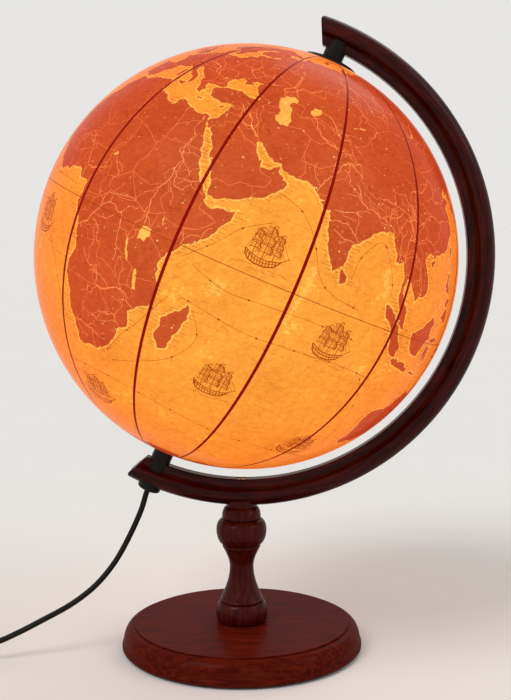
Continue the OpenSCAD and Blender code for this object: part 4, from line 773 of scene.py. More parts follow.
borders = [
    "-1.8,35 -1.5,32 -5,29.8 -8.7,28.5 -8.7,27.3 -4.8,25 3.2,19 4.2,19.2 5.8,19.5 12,23.5",
    "8.2,37 8,34.5 9.1,32.2 11.5,33.1", "9.1,32.2 9.5,30.2 10,26.5 12,23.5 15,23 24,19.5 24,20 25,20",
    "25,31.6 25,22 31.3,22 36.8,22", "25,22 25,20 24,20 24,15.7 22.5,14 22.5,11",
    "15,23 15.8,20 15.5,17 13.5,14.3", "-4.8,25 -6.5,25 -5.5,15.5 -9.3,15.4 -12.2,14.8",
    "-12.2,14.8 -11.5,12.3 -8,10.3 -5.5,10.4",
    "-5.5,10.4 -2.8,9.6 0,11 1,11 3.5,11.7 4,13.5 10,13.3 13.5,13.7",
    "-5.5,10.4 -4,13 -1,15 1,14.8 3.5,15.3 4.2,19.2", "-2.8,9.6 -3,5.2", "0.5,11 1.2,6.2",
    "1.8,6.3 2.7,9 3.5,11.7", "14.2,13 15,10 13.5,8.8 11.5,6.7 9,5",
    "15,10 15.5,7.6 14.5,5 16,3.5 16.2,2.2 13.3,2.2 9.8,2.2",
    "15.5,7.6 18.6,8 22.5,11 24.2,8.7 27.3,5 30.8,3.5 34,4.3 35.8,5.3",
    "16,3.5 18.5,3.5 18.6,5 22.4,4.1 27.3,5", "22.5,11 25,10.3 29,9.7 33,12 34.2,10 33,8",
    "36.5,14.3 34.2,10", "36.5,14.3 39,14.6 42.3,12.5", "38.5,18 36.9,17 36.5,14.3",
    "33,8 34.7,6 35.8,5.3 36,4.4 39.5,3.5 41.8,4 45,5 48,8 43,9.3 42.8,10.9", "41.8,4 41,1 41,-1.8",
    "34,4.3 34.4,3.5 34,0.5 33.9,-1 37.6,-3 39.2,-4.7",
    "30.8,3.5 31.3,2.2 29.7,0.5 29.6,-1.3 29,-2.8 29.2,-4.4", "29.6,-1.3 30.5,-1 33.9,-1",
    "30.5,-1 30.8,-2.4 29.2,-4.4", "30.7,-8.3 33,-9.5 34.5,-11.5 40.4,-10.5",
    "33,-9.5 33,-14 30.2,-14.8 30.4,-15.6 25.2,-17.8",
    "30.7,-8.3 28.5,-8.5 28.4,-11.8 29.8,-13.4 24,-10.9 22,-11",
    "12.3,-6 13,-5.9 16.5,-5.9 17.5,-8 21.8,-7.3 22,-11 24,-13 22,-13 22,-16.2 23.4,-17.6 14,-17.4 11.8,-17.3",
    "33,-14 34.5,-14.5 35.3,-16 34.3,-17 33,-16 30.4,-15.6",
    "23.4,-17.6 25.2,-17.8 27.7,-20.5 29.4,-22.2 31.3,-22.4", "31.3,-22.4 33,-20 32.9,-16.7 30.4,-15.6",
    "21,-18.3 21,-22 20,-22 20,-28.4 16.5,-28.6", "20,-24.8 23,-25.3 25.6,-25.6 27,-23.7 29.4,-22.2",
    "31.3,-22.4 32,-26 30.8,-26.8 32.9,-26.9", "27,-29.6 28.6,-28.6 29.4,-29.8 28,-30.6 27,-29.6",
    "16.2,2.2 14.4,1.3 14.2,-2 12,-2.4 11.2,-3.8", "16.2,2.2 18,3.5 18,0 16.2,-2.5 15,-4.6 13,-5.9",
    "34.3,28 35,29.5 36,29.2 38,30.5 37,31.5 39.2,32.2 42,31.1 44.7,29.2 46.5,29.1 48.4,28.5",
    "42,16.5 43.5,17.4 47,17 49,18.7 52,19 53.1,16.7", "52,19 55,20 55.7,22 55.2,22.7 52.5,22.9 51.6,24.1",
    "35.6,33 36.8,34.5 41,34.4 39.2,32.2", "41,34.4 42.4,37.1 36.7,36.8 36,35.9",
    "42.4,37.1 44.8,37.2 44.3,39.4 43.7,40.7 41.5,41.5", "44.8,37.2 46,35.8 45.5,34 47.7,31 48.5,30",
    "44.3,39.4 46.5,38.9 48,39.7 48.9,38.4", "43.7,40.7 46.5,41.1 48.6,41.8", "40,43.4 43,42.6 46.5,41.9",
    "54,37.3 57.2,38.2 61.2,36.6 61,31.5 63,27.2 61.6,25.2",
    "61.2,36.6 64.5,36.3 66.5,37.4 68,37 71.5,38 74.9,37.2",
    "61,31.5 60.9,29.8 66.3,29.9 69.5,32 71.2,34.3 71.5,36.3 74.9,37.2",
    "68.2,23.7 71,24.5 70,27.8 73.9,30.2 74.7,32.6 73.9,34.7 77.8,35.5",
    "74.9,37.2 77.8,35.5 78.9,33.2 78.7,31.3 81.1,30.1",
    "81.1,30.1 84,28.8 88.1,27.9 88.8,28 91.6,27.8 94,29.2 97.3,28.3",
    "80.2,28.8 84.5,27 88.1,26.4 88.1,27.9", "88.8,28 89,26.8 92,26.9 91.6,27.8",
    "89,22 88.5,24.5 88.3,26.3 89.8,25.9 92.3,25 91.2,23.7 92.3,21", "97.3,28.3 94.2,24 93,22 92.3,21",
    "97.3,28.3 98.7,25.8 97.7,24 99.5,22.9 101.2,21.5 102,22.5 105,23.3 108,21.6",
    "101.2,21.5 100.1,20.4 97.7,18.6 98.6,16 99.6,11.8 98.7,10",
    "100.1,20.4 101.1,17.5 102.1,18.2 104.3,18.3 104.8,16 105.6,14.5 102.6,13.5 102.9,11.8",
    "102,22.5 104.8,20 104,19 107.3,15 107.5,12.4 104.5,10.4", "105.6,14.5 107.3,14.4",
    "52.5,45.4 56,45 56,41.3 61.9,43.5 66,42.4 71,42.3 80.2,42.3 80.3,45 82.3,45.2 83,47.2 87.3,49.2",
    "54,42.1 56,41.3 58.6,42.8 62,40 66.5,37.4", "66,42.4 68,41 70,40.2 73,40.8 73.8,39.6",
    "73.9,39.5 74.9,37.2", "80.2,42.3 76.8,40.4 73.8,39.6",
    "87.3,49.2 91,46.5 96,42.8 105,41.7 111.8,43.6 119.8,46.8 116.7,49.8 111,49.3 98.3,50.5 92,50.8 87.3,49.2",
    "87.3,49.2 80,51 76.9,54.3 71,54.2 61,53.9 61.4,51 55,50.6 48.5,50.3 46.7,48.4 49,46.2",
    "119.8,46.8 120,53 126,52.9 130.9,47.7 134.7,48.3 131,45 130.6,42.4", "130.6,42.4 128,42 124.3,39.9",
    "126.6,37.8 128.4,38.6", "28,69 30,67.7 29.6,64.9 31.5,62.8 27.8,60.5", "28,69 23.7,68 24.1,65.8",
    "20.5,69 16,67 14,64.5 12.2,61.5 11.2,59", "28.2,56.2 27.5,57.5 28,59.4",
    "21,55.3 26.5,55.6 28.2,56.2 31,54.6 32.7,53.3 31.8,52.1 34.2,51.3 40,49.6 38.2,47.1",
    "23.6,52.6 27,51.7 31.8,52.1", "23.6,52.6 23.6,54 26.5,55.6",
    "23.6,52.6 22.6,49.1 18.8,49.5 14.8,51 14.3,53.9",
    "22.6,49.1 22.2,48.1 24.9,47.7 26.6,48.3 29.2,46 28.2,45.5",
    "22.2,48.1 21,46.2 16.1,46.8 13.7,46.5 7,45.9", "21,46.2 22.7,44.6 22.9,43.2 28.6,43.7",
    "22.9,43.2 23,41.4 26.4,41.7 28,42", "23,41.4 21,41 20,39.7",
    "16.1,46.8 17,48 14.8,48.6 12.1,50.3 14.8,51",
    "14.8,48.6 13,47.6 9.6,47.5 7.6,47.6 8.2,49 6,49.5 6.1,51.8 7,53.3", "7,45.9 7.6,43.8",
    "7,45.9 6,46.4 7.6,47.6", "6,49.5 2.5,51", "-1.8,43.3 0.7,42.7 3.2,42.4",
    "-7,37.2 -7.4,38.5 -6.8,41.9 -8.8,41.9", "13.7,46.5 13.7,45.6", "16.1,46.8 15.6,45.2 19,45.2 19,44.4",
    "-95.2,49 -123.2,49",
    "-95.2,49 -89.5,48 -84.5,46.5 -82.5,45.3 -83,42 -79,43.2 -74.8,45 -71.3,45.3 -67.8,47 -67,45",
    "-141,69.6 -141,60.3 -137,58.9 -130.2,55.5", "-117.2,32.6 -111,31.3 -106.4,31.8 -101.5,29.8 -97.2,25.9",
    "-92.2,14.6 -91.5,17.2 -89,17.9", "-89.3,14.4 -85.5,13 -83.2,15", "-77.4,8.6 -77.2,7.9",
    "-78.8,1.4 -75.5,0.2 -70,-4.2 -69.5,-0.8 -67,1.2 -67.5,6 -72,7.3 -72.5,11",
    "-80.3,-3.4 -78.3,-4.8 -75.5,0.2", "-67,1.2 -64,2 -60.7,5 -59.8,8.3",
    "-60.7,5 -59.8,1.7 -54.5,2.3 -51.7,4", "-57,5.9 -56.5,2", "-54,5.7 -54.5,2.3",
    "-70,-4.2 -73,-9.4 -69.6,-11 -69.5,-17.5 -70.3,-18.3",
    "-69.6,-11 -65.3,-9.8 -60.2,-13.7 -57.7,-18 -58.2,-20 -62.3,-20.6",
    "-62.3,-20.6 -62.8,-22 -67.8,-22.8 -69.5,-17.5",
    "-67.8,-22.8 -69,-27 -70,-33.3 -71.5,-39 -71.7,-46 -73,-50 -68.5,-52.3",
    "-62.8,-22 -57.7,-25.3 -55.8,-27.3 -54.3,-25.6 -54.2,-24 -57.8,-22.1 -58.2,-20",
    "-55.8,-27.3 -57.6,-30.2 -53.5,-33.7", "141,-2.6 141,-9.1", "109.6,2 111.5,1 115,2.5 117.8,4.2",
    "129,-14.9 129,-31.6", "138,-16.5 138,-26 141,-26 141,-38", "129,-26 138,-26",
    "141,-29 149,-29 153.5,-28.2",
]
cities = (
    "31.2,30 3.4,6.5 36.8,-1.3 28,-26.2 18.4,-33.9 32.5,15.6 38.7,9 13.2,-8.8 15.3,-4.3 39.3,-6.8 "
    "32.6,-25.9 47.5,-18.9 45.3,2 7.5,9 2.1,13.5 -17.4,14.7 13.2,32.9 3,36.8 10.2,36.8 -7.6,33.6 46.7,24.7 "
    "39.8,21.4 44.2,15.3 58.5,23.5 51.4,35.7 44.4,33.3 36.3,33.5 32.9,39.9 69.2,34.5 67,24.9 73,33.7 "
    "77.2,28.6 72.8,19 77.6,13 80.3,13.1 88.4,22.6 90.4,23.8 85.3,27.7 79.9,6.9 96.2,16.8 100.5,13.8 "
    "105.8,21 106.7,10.8 101.7,3.1 103.8,1.3 106.8,-6.2 112.8,-7.3 121,14.6 114.2,22.3 121.5,31.2 "
    "116.4,39.9 106.5,29.6 104.1,30.7 87.6,43.8 91.1,29.7 126.9,37.6 139.7,35.7 135.5,34.7 132,43.1 "
    "104.3,52.3 82.9,55 73.4,55 60.6,56.8 49.1,55.8 37.6,55.8 30.3,59.9 30.5,50.5 21,52.2 13.4,52.5 "
    "2.3,48.9 -0.1,51.5 -3.7,40.4 -9.1,38.7 12.5,41.9 16.4,48.2 19,47.5 23.7,38 29,41 26.1,44.4 18.1,59.3 "
    "24.9,60.2 10.8,59.9 69.3,41.3 76.9,43.2 58.4,37.9 71.4,51.2 49.9,40.4 44.8,41.7 115.9,-32 151.2,-33.9 "
    "145,-37.8 153,-27.5 138.6,-34.9 130.8,-12.5 -74,40.7 -77,38.9 -87.6,41.9 -118.2,34 -122.4,37.8 "
    "-95.4,29.8 -99.1,19.4 -82.4,23.1 -79.4,43.7 -123.1,49.3 -66.9,10.5 -74.1,4.7 -78.5,-0.2 -77,-12 "
    "-68.1,-16.5 -70.7,-33.5 -58.4,-34.6 -56.2,-34.9 -47.9,-15.8 -46.6,-23.6 -43.2,-22.9 -38.5,-13 -60,-3.1 "
    "-48.5,-1.4"
)


# The printed map. Every printed shape is cut into the skin of the shell, so each half is one closed mesh
globeMap = {
    "turn": 55.1,           # longitude that faces the front
    "coastStep": 0.008,     # longest stretch of coast without a wiggle, in radii
    "wiggle": 0.15,
    "speck": 12,            # an outline with no more points is a mere spot
    "riverStep": 0.012,
    "gridStep": 2.0,        # degrees between the skin's own points
    "innerStep": 4.5,       # and between those of its inner side
    "overlap": 0.02,        # how far a coast is followed past the seam, in radii
    "coastLine": 1.3,       # width of each line in mm
    "riverLine": 0.45,
    "borderLine": 0.38,
    "inkLine": 0.36,
    "fineLine": 0.3,
    "goreLine": 2.3,        # where it is widest
    "goreStart": 10.75,     # degrees east
    "gores": 12,
    "cityDot": 0.6,         # radius of a city's dot
    "towns": 2300,          # small dots tried, of which those on land are kept
    "wall": 1.4,
    "hole": {1: 7.0, -1: 6.6},      # radius of the opening at each pole
    "holeSides": 48,
    "lap": (6.0, 1.2),      # height and wall of the ring inside the seam
    "lapGap": 0.075,
    "lapSides": 96,
    "seed": 7,
}
# colours of the print as seen lit, in linear light
printColours = {
    "sea": (0.98, 0.545, 0.102), "land": (0.58, 0.135, 0.048), "lake": (1.0, 0.76, 0.21),
    "coast": (1.0, 0.78, 0.20), "border": (0.90, 0.34, 0.13), "river": (0.98, 0.50, 0.22),
    "city": (1.0, 0.90, 0.54), "softInk": (0.57, 0.185, 0.027), "ink": (0.37, 0.085, 0.010),
    "gore": (0.235, 0.0050, 0.0032), "shoal": (1.0, 0.65, 0.105),
}
# classes of the skin's triangles; a later one lies over an earlier one
printOrder = ["sea", "land", "lake", "coast", "border", "river", "city", "softInk", "ink", "gore"]
seaNo, landNo, lakeNo, coastNo, borderNo, riverNo, cityNo, softNo, inkNo, goreNo = range(10)
discNo, holeNo = 10, 11      # the whole half, and its opening
onLandOnly, atSeaOnly = (borderNo, riverNo, cityNo), (coastNo, softNo)


def toSphere(pairs):      # degrees of longitude and latitude to points on the unit sphere
    pairs = np.atleast_2d(np.array(pairs, float))
    lon, lat = np.radians(pairs[:, 0] - globeMap["turn"]), np.radians(pairs[:, 1])
    return np.stack([np.cos(lat) * np.sin(lon), -np.cos(lat) * np.cos(lon), np.sin(lat)], 1)


def readPairs(text):
    return [[float(v) for v in pair.split(",")] for pair in text.split()]


def unitRows(p):
    return p / np.linalg.norm(p, axis=1)[:, None]


def roughen(p, closed, step, wild, rng):      # breaks each stretch with a shift until none is over step
    while True:
        a, b = (p, np.roll(p, -1, 0)) if closed else (p[:-1], p[1:])
        length = np.linalg.norm(b - a, axis=1)
        far = np.where(length > step)[0]
        if len(far) == 0:
            return p
        side = np.cross(a[far], b[far])
        side /= np.maximum(np.linalg.norm(side, axis=1), 1e-9)[:, None]
        middle = a[far] + b[far]
        middle = unitRows(middle) + side * (rng.uniform(-wild, wild, len(far)) * length[far])[:, None]
        p = np.insert(p, far + 1, unitRows(middle), axis=0)


def smoothPath(p, per):
    out = []
    for i in range(len(p) - 1):
        a, b, c, d = p[max(i - 1, 0)], p[i], p[i + 1], p[min(i + 2, len(p) - 1)]
        for t in np.arange(per) / per:
            out.append(0.5 * (2 * b + (c - a) * t + (2 * a - 5 * b + 4 * c - d) * t ** 2
                              + (3 * b - a - 3 * c + d) * t ** 3))
    return unitRows(np.array(out + [p[-1]]))


def sideways(p, closed):
    if closed:
        along = np.roll(p, -1, 0) - np.roll(p, 1, 0)
    else:
        along = np.empty_like(p)
        along[1:-1] = p[2:] - p[:-2]
        along[0], along[-1] = p[1] - p[0], p[-1] - p[-2]
    s = np.cross(p, along)
    return s / np.maximum(np.linalg.norm(s, axis=1), 1e-9)[:, None]


printed = []     # (points on the unit sphere, class)


def ribbon(p, width, kind, closed=False, outward=0):      # outward puts the whole width on one side
    if len(p) < 2:
        return
    half = np.broadcast_to(np.asarray(width, float) * mm / 2 / globeRadius, (len(p),))[:, None]
    s = sideways(p, closed)
    left = p + s * half * (2 * outward if outward else 1)
    other = p if outward else p - s * half
    for i in range(len(p) if closed else len(p) - 1):
        k = (i + 1) % len(p)
        printed.append((unitRows(np.array([left[i], left[k], other[k], other[i]])), kind))


def near(centre, x, y):      # x mm to the east and y mm to the north of a point
    east = np.cross([0, 0, 1], centre)
    east = east / np.linalg.norm(east)
    north = np.cross(centre, east)
    p = centre + (east * x + north * y) * mm / globeRadius
    return p / np.linalg.norm(p)


def ringRound(centre, r, sides, turn=0.0):
    return np.array([near(centre, r * math.cos(turn + a), r * math.sin(turn + a))
                     for a in np.arange(sides) * 2 * math.pi / sides])


def disc(centre, r, kind, sides=7):
    printed.append((ringRound(centre, r, sides), kind))


def blot(centre, r, kind, rng):      # an uneven spot, wider than it is high
    turn, reach = rng.uniform(0, 6), rng.uniform(0.6, 1.25, 9)
    edge = [near(centre, 1.2 * r * k * math.cos(turn + a), 0.8 * r * k * math.sin(turn + a))
            for k, a in zip(reach, np.arange(9) * 2 * math.pi / 9)]
    for i in range(9):
        printed.append((np.array([centre, edge[i], edge[(i + 1) % 9]]), kind))


# A small sailing ship drawn in ink lines, x to the east and y to the north, in mm at full size
shipLines = {
    "keel": [(-12, -2.8), (-11, -6.4), (-8.5, -9.2), (-3, -10.6), (4, -10.4), (9, -8.4), (12.5, -4.0)],
    "deck": [(-12, -2.8), (-8, -5.0), (-3, -6.2), (3, -6.4), (8.5, -5.4), (12.5, -4.0)],
    "wale": [(-11, -4.8), (-4, -8.0), (3, -8.3), (10.5, -6.2)],
    "bowsprit": [(12, -4), (14.5, -2), (17.5, 0.4)],
    "masts": [(-7, -5, 12, 3.3), (0, -6, 16, 4.4), (7, -5.4, 12.5, 3.7)],      # place, foot, top, half its sails
    "ropes": [((-7, 12), (-12, -3)), ((0.3, 16), (-6, -5)), ((0.3, 15), (-3.4, -5.8)), ((7, 12.5), (1, -5.6)),
              ((7.3, 12), (16.5, 0.2)), ((7.3, 7), (14.5, -1.4)), ((0.3, 15.5), (7, 8)), ((-7, 11.5), (0, 8))],
}


def drawSail(stroke, mast, low, high, wide, tight):
    middle = (low + high) / 2
    stroke([(mast - tight, high), (mast, high + 0.35), (mast + tight, high)], 0.5)
    stroke([(mast - wide, low), (mast - wide * 0.3, low + 0.9), (mast + wide * 0.5, low + 0.8),
            (mast + wide, low)], 0.42)
    stroke([(mast + tight, high), (mast + wide + 0.7, middle), (mast + wide, low)], 0.6)
    stroke([(mast - tight, high), (mast - tight + 0.8, middle), (mast - wide, low)], 0.4)
    for share in (0.25, 0.5, 0.72, 0.9):        # its shaded side
        stroke([(mast + tight * share, high - 0.2), (mast + wide * share + 0.5, middle),
                (mast + wide * share, low + 0.7)], 0.22 + 0.22 * share, softNo)
    stroke([(mast - wide * 0.4, high - 0.6), (mast - wide * 0.3, low + 1.2)], 0.25, softNo)


def drawShip(lon, lat, size, facing, rng):
    centre = toSphere([lon, lat])[0]

    def at(x, y):
        return near(centre, facing * x * size, y * size)

    def stroke(points, width, kind=inkNo):      # every point a little off, as by hand
        ribbon(np.array([at(x + rng.normal(0, 0.12), y + rng.normal(0, 0.12)) for x, y in points]), width, kind)

    keel, deck = shipLines["keel"], shipLines["deck"]
    stroke(keel, 0.85)
    stroke(deck, 0.6)
    for k in range(11):     # planking and shade on the hull
        x = -10.4 + 2.0 * k
        low, high = np.interp(x, *zip(*keel[1:])), np.interp(x, *zip(*deck))
        stroke([(x, high - 0.2), (x + 0.5, low + 0.4)], rng.uniform(0.35, 0.75))
    stroke(shipLines["wale"], 0.5)
    stroke(shipLines["bowsprit"], 0.5)
    for mast, foot, top, spreadOut in shipLines["masts"]:
        stroke([(mast, foot), (mast + 0.2, (foot + top) / 2), (mast + 0.3, top)], 0.5)
        stroke([(mast + 0.3, top), (mast + 1.8, top + 0.9), (mast + 3.4, top + 0.4)], 0.55)      # its pennant
        levels = np.linspace(foot + 3.2, top - 0.8, 4)
        for low, high in zip(levels[:-1], levels[1:]):
            wide = spreadOut * (1.12 - 0.45 * (low - foot) / (top - foot))
            drawSail(stroke, mast, low + 0.3, high - 0.3, wide, wide * 0.80)
    for a, b in shipLines["ropes"]:
        stroke([a, b], 0.26)
    for k in range(12):      # water along the hull
        x, y = -18 + 3.1 * k + rng.uniform(-1, 1), -11.4 - rng.uniform(0, 3.4)
        stroke([(x, y), (x + 1.8, y + 0.35), (x + 4.2, y)], 0.34, softNo)


# The skin is cut flat, seen from the far pole, where circles on the globe stay circles
def flat(p, side):
    return p[:, :2] / (1 + side * p[:, 2])[:, None]


def lifted(q, side):
    r2 = (q ** 2).sum(1)
    return np.stack([2 * q[:, 0] / (1 + r2), 2 * q[:, 1] / (1 + r2), side * (1 - r2) / (1 + r2)], 1)


def holeReach(side):
    return math.tan(math.asin(globeMap["hole"][side] * mm / globeRadius) / 2)


def insidePolygon(points, polygon):
    inside = np.zeros(len(points), bool)
    close = np.where(((points >= polygon.min(0)) & (points <= polygon.max(0))).all(1))[0]
    if len(close) == 0:
        return inside
    x, y = points[close, 0], points[close, 1]
    found = np.zeros(len(close), bool)
    for (ax, ay), (bx, by) in zip(polygon, np.roll(polygon, -1, 0)):
        crosses = (y < ay) != (y < by)
        if crosses.any():
            found ^= crosses & (x < (bx - ax) * (y - ay) / (by - ay) + ax)
    inside[close] = found
    return inside


def circle(r, sides):
    around = np.radians(np.arange(sides) * 360 / sides)
    return r * np.stack([np.cos(around), np.sin(around)], 1)


def gridRings(step, hole):
    steps = int(round(360 / step))
    rings = int(round(90 / step))
    points = []
    for k in range(1, rings):
        r = math.tan(math.radians(90 - 90 * k / rings) / 2)
        if r < hole * 1.4:
            break
        n = max(24, int(steps * math.cos(math.radians(90 * k / rings))))
        a = (np.arange(n) + 0.5 * (k % 2)) * 2 * math.pi / n
        points.append(r * np.stack([np.cos(a), np.sin(a)], 1))
    return np.concatenate(points)


def twiceArea(a, b, c):
    return (b[0] - a[0]) * (c[1] - a[1]) - (b[1] - a[1]) * (c[0] - a[0])


def covers(cover, number):
    return (cover & (1 << number)) > 0


def printClasses(middle, cover, side, coasts, shores):      # the class that shows at each triangle's middle
    land, water = np.zeros(len(middle), bool), np.zeros(len(middle), bool)
    for shapes, mask in ((coasts, land), (shores, water)):
        for p in shapes:
            if (side * p[:, 2]).max() > -globeMap["overlap"]:
                mask |= insidePolygon(middle, flat(p, side))
    kind = np.where(land, np.where(water, lakeNo, landNo), seaNo)
    for number in range(coastNo, goreNo + 1):
        where = covers(cover, number)
        if number in onLandOnly:
            where &= land & ~water
        if number in atSeaOnly:
            where &= ~land
        kind[where] = number
    return kind


def halfSkin(side, coasts, shores):
    verts, edges, faces, kinds, areas = [], [], [], [], []
    anyArea, farSide, sliver = 9, -0.5, 4e-6      # the last is the least height of a triangle

    def addPoints(points):
        first = len(verts)
        verts.extend(points.tolist())
        return first

    def addFace(corners, kind, area):
        faces.append(corners)
        kinds.append(kind)
        areas.append(area)

    hole = holeReach(side)
    for kind, r, sides in ((discNo, 1, int(round(360 / globeMap["gridStep"]))),
                           (holeNo, hole, globeMap["holeSides"])):
        first = addPoints(circle(r, sides))
        addFace(list(range(first, first + sides)), kind, anyArea)
    addPoints(gridRings(globeMap["gridStep"], hole))
    for p in coasts + shores:
        close = side * p[:, 2] > -globeMap["overlap"]
        if not close.any():
            continue
        keep = close | np.roll(close, 1) | np.roll(close, -1)
        index = np.full(len(p), -1)
        index[keep] = np.arange(keep.sum()) + len(verts)
        addPoints(flat(p[keep], side))
        for i in range(len(p)):
            k = (i + 1) % len(p)
            if keep[i] and keep[k] and (close[i] or close[k]):
                edges.append((int(index[i]), int(index[k])))
    for p, kind in printed:
        height = side * p[:, 2]
        if height.max() < 0 or height.min() < farSide:
            continue
        q = flat(p, side)
        first = addPoints(q)
        for i in range(1, len(q) - 1):
            area = twiceArea(q[0], q[i], q[i + 1])
            reach = max(math.dist(q[0], q[i]), math.dist(q[i], q[i + 1]), math.dist(q[0], q[i + 1]))
            if abs(area) > sliver * reach:
                corners = [first, first + i, first + i + 1] if area > 0 else [first, first + i + 1, first + i]
                addFace(corners, kind, abs(area) / 2)
    out, _, found, _, _, within = delaunay_2d_cdt([Vector(v) for v in verts], edges, faces, 0, 1e-7, True)
    q = np.array([v[:] for v in out])
    triangles = np.array([t[:3] for t in found])
    a, b, c = q[triangles[:, 0]], q[triangles[:, 1]], q[triangles[:, 2]]
    size = np.abs(twiceArea(a.T, b.T, c.T)) / 2
    owner = np.array([o for owners in within for o in owners])
    owned = np.repeat(np.arange(len(found)), [len(owners) for owners in within])
    # a sliver that closed up would claim everything round it, so a shape keeps no more than its own area
    held = np.bincount(owner, weights=size[owned], minlength=len(kinds))
    sound = held <= np.array(areas) * 1.05 + 1e-7
    if not sound.all():
        print("slivers left out", int((~sound).sum()))
    cover = np.zeros(len(found), int)      # one bit for each class that lies on the triangle
    keep = sound[owner]
    bits = np.array([1 << kind for kind in kinds])
    np.bitwise_or.at(cover, owned[keep], bits[owner[keep]])
    wanted = covers(cover, discNo) & ~covers(cover, holeNo)
    triangles, cover = triangles[wanted], cover[wanted]
    kind = printClasses(q[triangles].mean(1), cover, side, coasts, shores)
    used, inverse = np.unique(triangles.ravel(), return_inverse=True)
    return q[used], inverse.reshape(-1, 3), kind


def shoalGlow(p, shoals):
    glow = np.zeros(len(p))
    for centre, reach, depth in shoals:
        d2 = ((p - centre) ** 2).sum(1)
        glow = np.maximum(glow, depth * np.exp(-d2 / (reach * mm / globeRadius) ** 2))
    return glow


# Shoals with small islands, currents, ships and ranges drawn on the map, as longitude,latitude
drawn = {
    "shoals": "55,-5 53,-6 44,-12 46.5,-9.5 57,-20.5 73,3 72,-7 72.5,11 92.8,12 93.7,7.5 97,-12 105.7,-10.5 "
        "70,-49 51,-46.5 38,-47 54,12.5 -24,16 -16,28 -6,-16 -14,-8 -157,20.5 178,-17.5 -172,-13.8 -175,-20 "
        "-149.5,-17.6 -144,-17 -139.5,-9.5 -91,-0.5 145.5,15 152,7 168,9 173,1 160,-9 167,-16 -62,15 "
        "-28,38.5 -76,24.5 25.5,37 129,29 -170,52",
    "currents": [
        "44,-2 50,4 54,9 60,13", "47,-3 56,-5.5 66,-5 78,-4.5 90,-5",
        "102,-13 90,-12 76,-12.5 64,-13 52,-11.5 47,-11", "44,-12 41,-17 38,-22 34,-27 30,-33",
        "51,-13 54,-19 50,-26 42,-31 32,-35", "10,-42 30,-41 50,-42 70,-44 90,-44 110,-44 135,-46 160,-50",
        "108,-36 106,-28 103,-20 99,-14", "60,20 66,18 71,13 75,6 80,3 88,2", "83,8 84,14 89,19 94,13 96,8",
        "16,-34 10,-26 6,-18 0,-12 -8,-7", "-20,8 -12,3.5 -3,3 6,2.5", "-5,-4 -18,-5 -30,-6",
        "-36,-12 -38,-20 -46,-30 -52,-38", "-80,26 -76,33 -66,39 -48,43 -30,47 -15,52 0,62 10,70",
        "-12,42 -16,34 -20,24 -26,17", "-25,14 -40,13 -55,14 -70,16",
        "124,20 130,29 142,35 160,38 180,39 205,41 225,42", "-128,42 -122,30 -116,22 -125,16",
        "-120,12 -150,12 -180,13 -210,14 -230,15", "-90,-4 -120,-5 -150,-7 -180,-9 -200,-12",
        "-76,-42 -75,-30 -74,-18 -82,-8 -92,-4", "156,-15 156,-26 153,-36 158,-43",
    ],
    "ranges": [
        "74,36 80,31 86,28.5 92,28 97,28.5", "70,34 78,36 88,36 98,36", "72,40 80,42 90,43",
        "86,49 95,51 105,51", "45,37 49,34 53,30 57,28", "36,40.5 42,40.5 46,42", "37,15 38.5,12 38,8 36,6",
        "35.5,2 36.5,-2 36,-7 35,-11", "-8,31 -3,33 4,35 9,36", "29,-29 27,-31 22,-32.5", "7,45 11,47 15,47",
        "20,42 24,43", "59,52 60,58 60,65", "44,15 43,19 39,24 36,28", "74,19 75.5,14 77,10", "77,20 82,19",
        "100,20 102,26 104,32", "109,23 116,26", "130,64 138,64 146,66",
        "-112,32 -110,40 -115,48 -122,56 -130,62", "-120,38 -122,45", "-83,35 -78,40 -71,45",
        "-105,27 -100,20 -92,16", "-77,5 -78,-3 -75,-12 -69,-18 -68,-27 -70,-35 -72,-46", "-44,-21 -48,-26",
        "148,-22 151,-29 148,-36", "6,24 9,22", "17,20 22,22", "13,6 16,8", "15,-14 16,-20",
        "10,62 14,66 18,68",
    ],
    "ships": [      # longitude, latitude, size and the way that it sails
        (60.8, 6.7, 1.0, 1), (84.9, -8.0, 1.0, 1), (62.2, -28.2, 1.0, 1), (-5.4, -8.4, 1.05, 1),
        (22.6, -49.5, 1.0, 1), (-30, -25, 1, -1), (-160, -30, 1, 1), (-130, 10, 1, -1), (170, 25, 1, 1),
        (-45, 30, 1, -1), (100, -40, 1, 1),
    ],
    "chains": [
        "73.2,7 73.2,3 72.8,-1 72,-7", "93,14 93.2,11 94,7", "-77,25 -74,22 -71,21", "-61,16 -61.3,13",
        "167,-15 168,-19", "144,20 145.5,16 145,13", "-175,-16 -175,-21", "-160,22 -155,19.5",
        "130,31 128.5,27 125,24.5",
    ],
    "parallels": (15, 30, 45, 60, 75),
}


def drawOutlines(shapes, rng):
    step, wiggle = globeMap["coastStep"], globeMap["wiggle"]
    return [roughen(toSphere(readPairs(s)), True, step, wiggle, rng) for s in shapes.values()]


def drawShoals(coasts, rng):      # spots and small islands, with pale water round them: (middle, reach, depth)
    shoals = []
    for spot in toSphere(readPairs(drawn["shoals"])):
        for k in range(rng.integers(5, 10)):
            middle = near(spot, rng.normal(0, 4.0), rng.normal(0, 3.4))
            blot(middle, rng.uniform(0.5, 1.9), coastNo, rng)
            if k < 2:
                r, turn = rng.uniform(0.2, 0.45), rng.uniform(0, 6)
                coasts.append(ringRound(middle, r, 6, turn))
                shoals.append((middle, rng.uniform(5, 8), rng.uniform(0.4, 0.8)))
    for chain in drawn["chains"]:
        for spot in smoothPath(toSphere(readPairs(chain)), 9):
            blot(near(spot, rng.normal(0, 0.8), 0), rng.uniform(0.7, 1.9), coastNo, rng)
            shoals.append((spot, 4, 0.35))
    return shoals


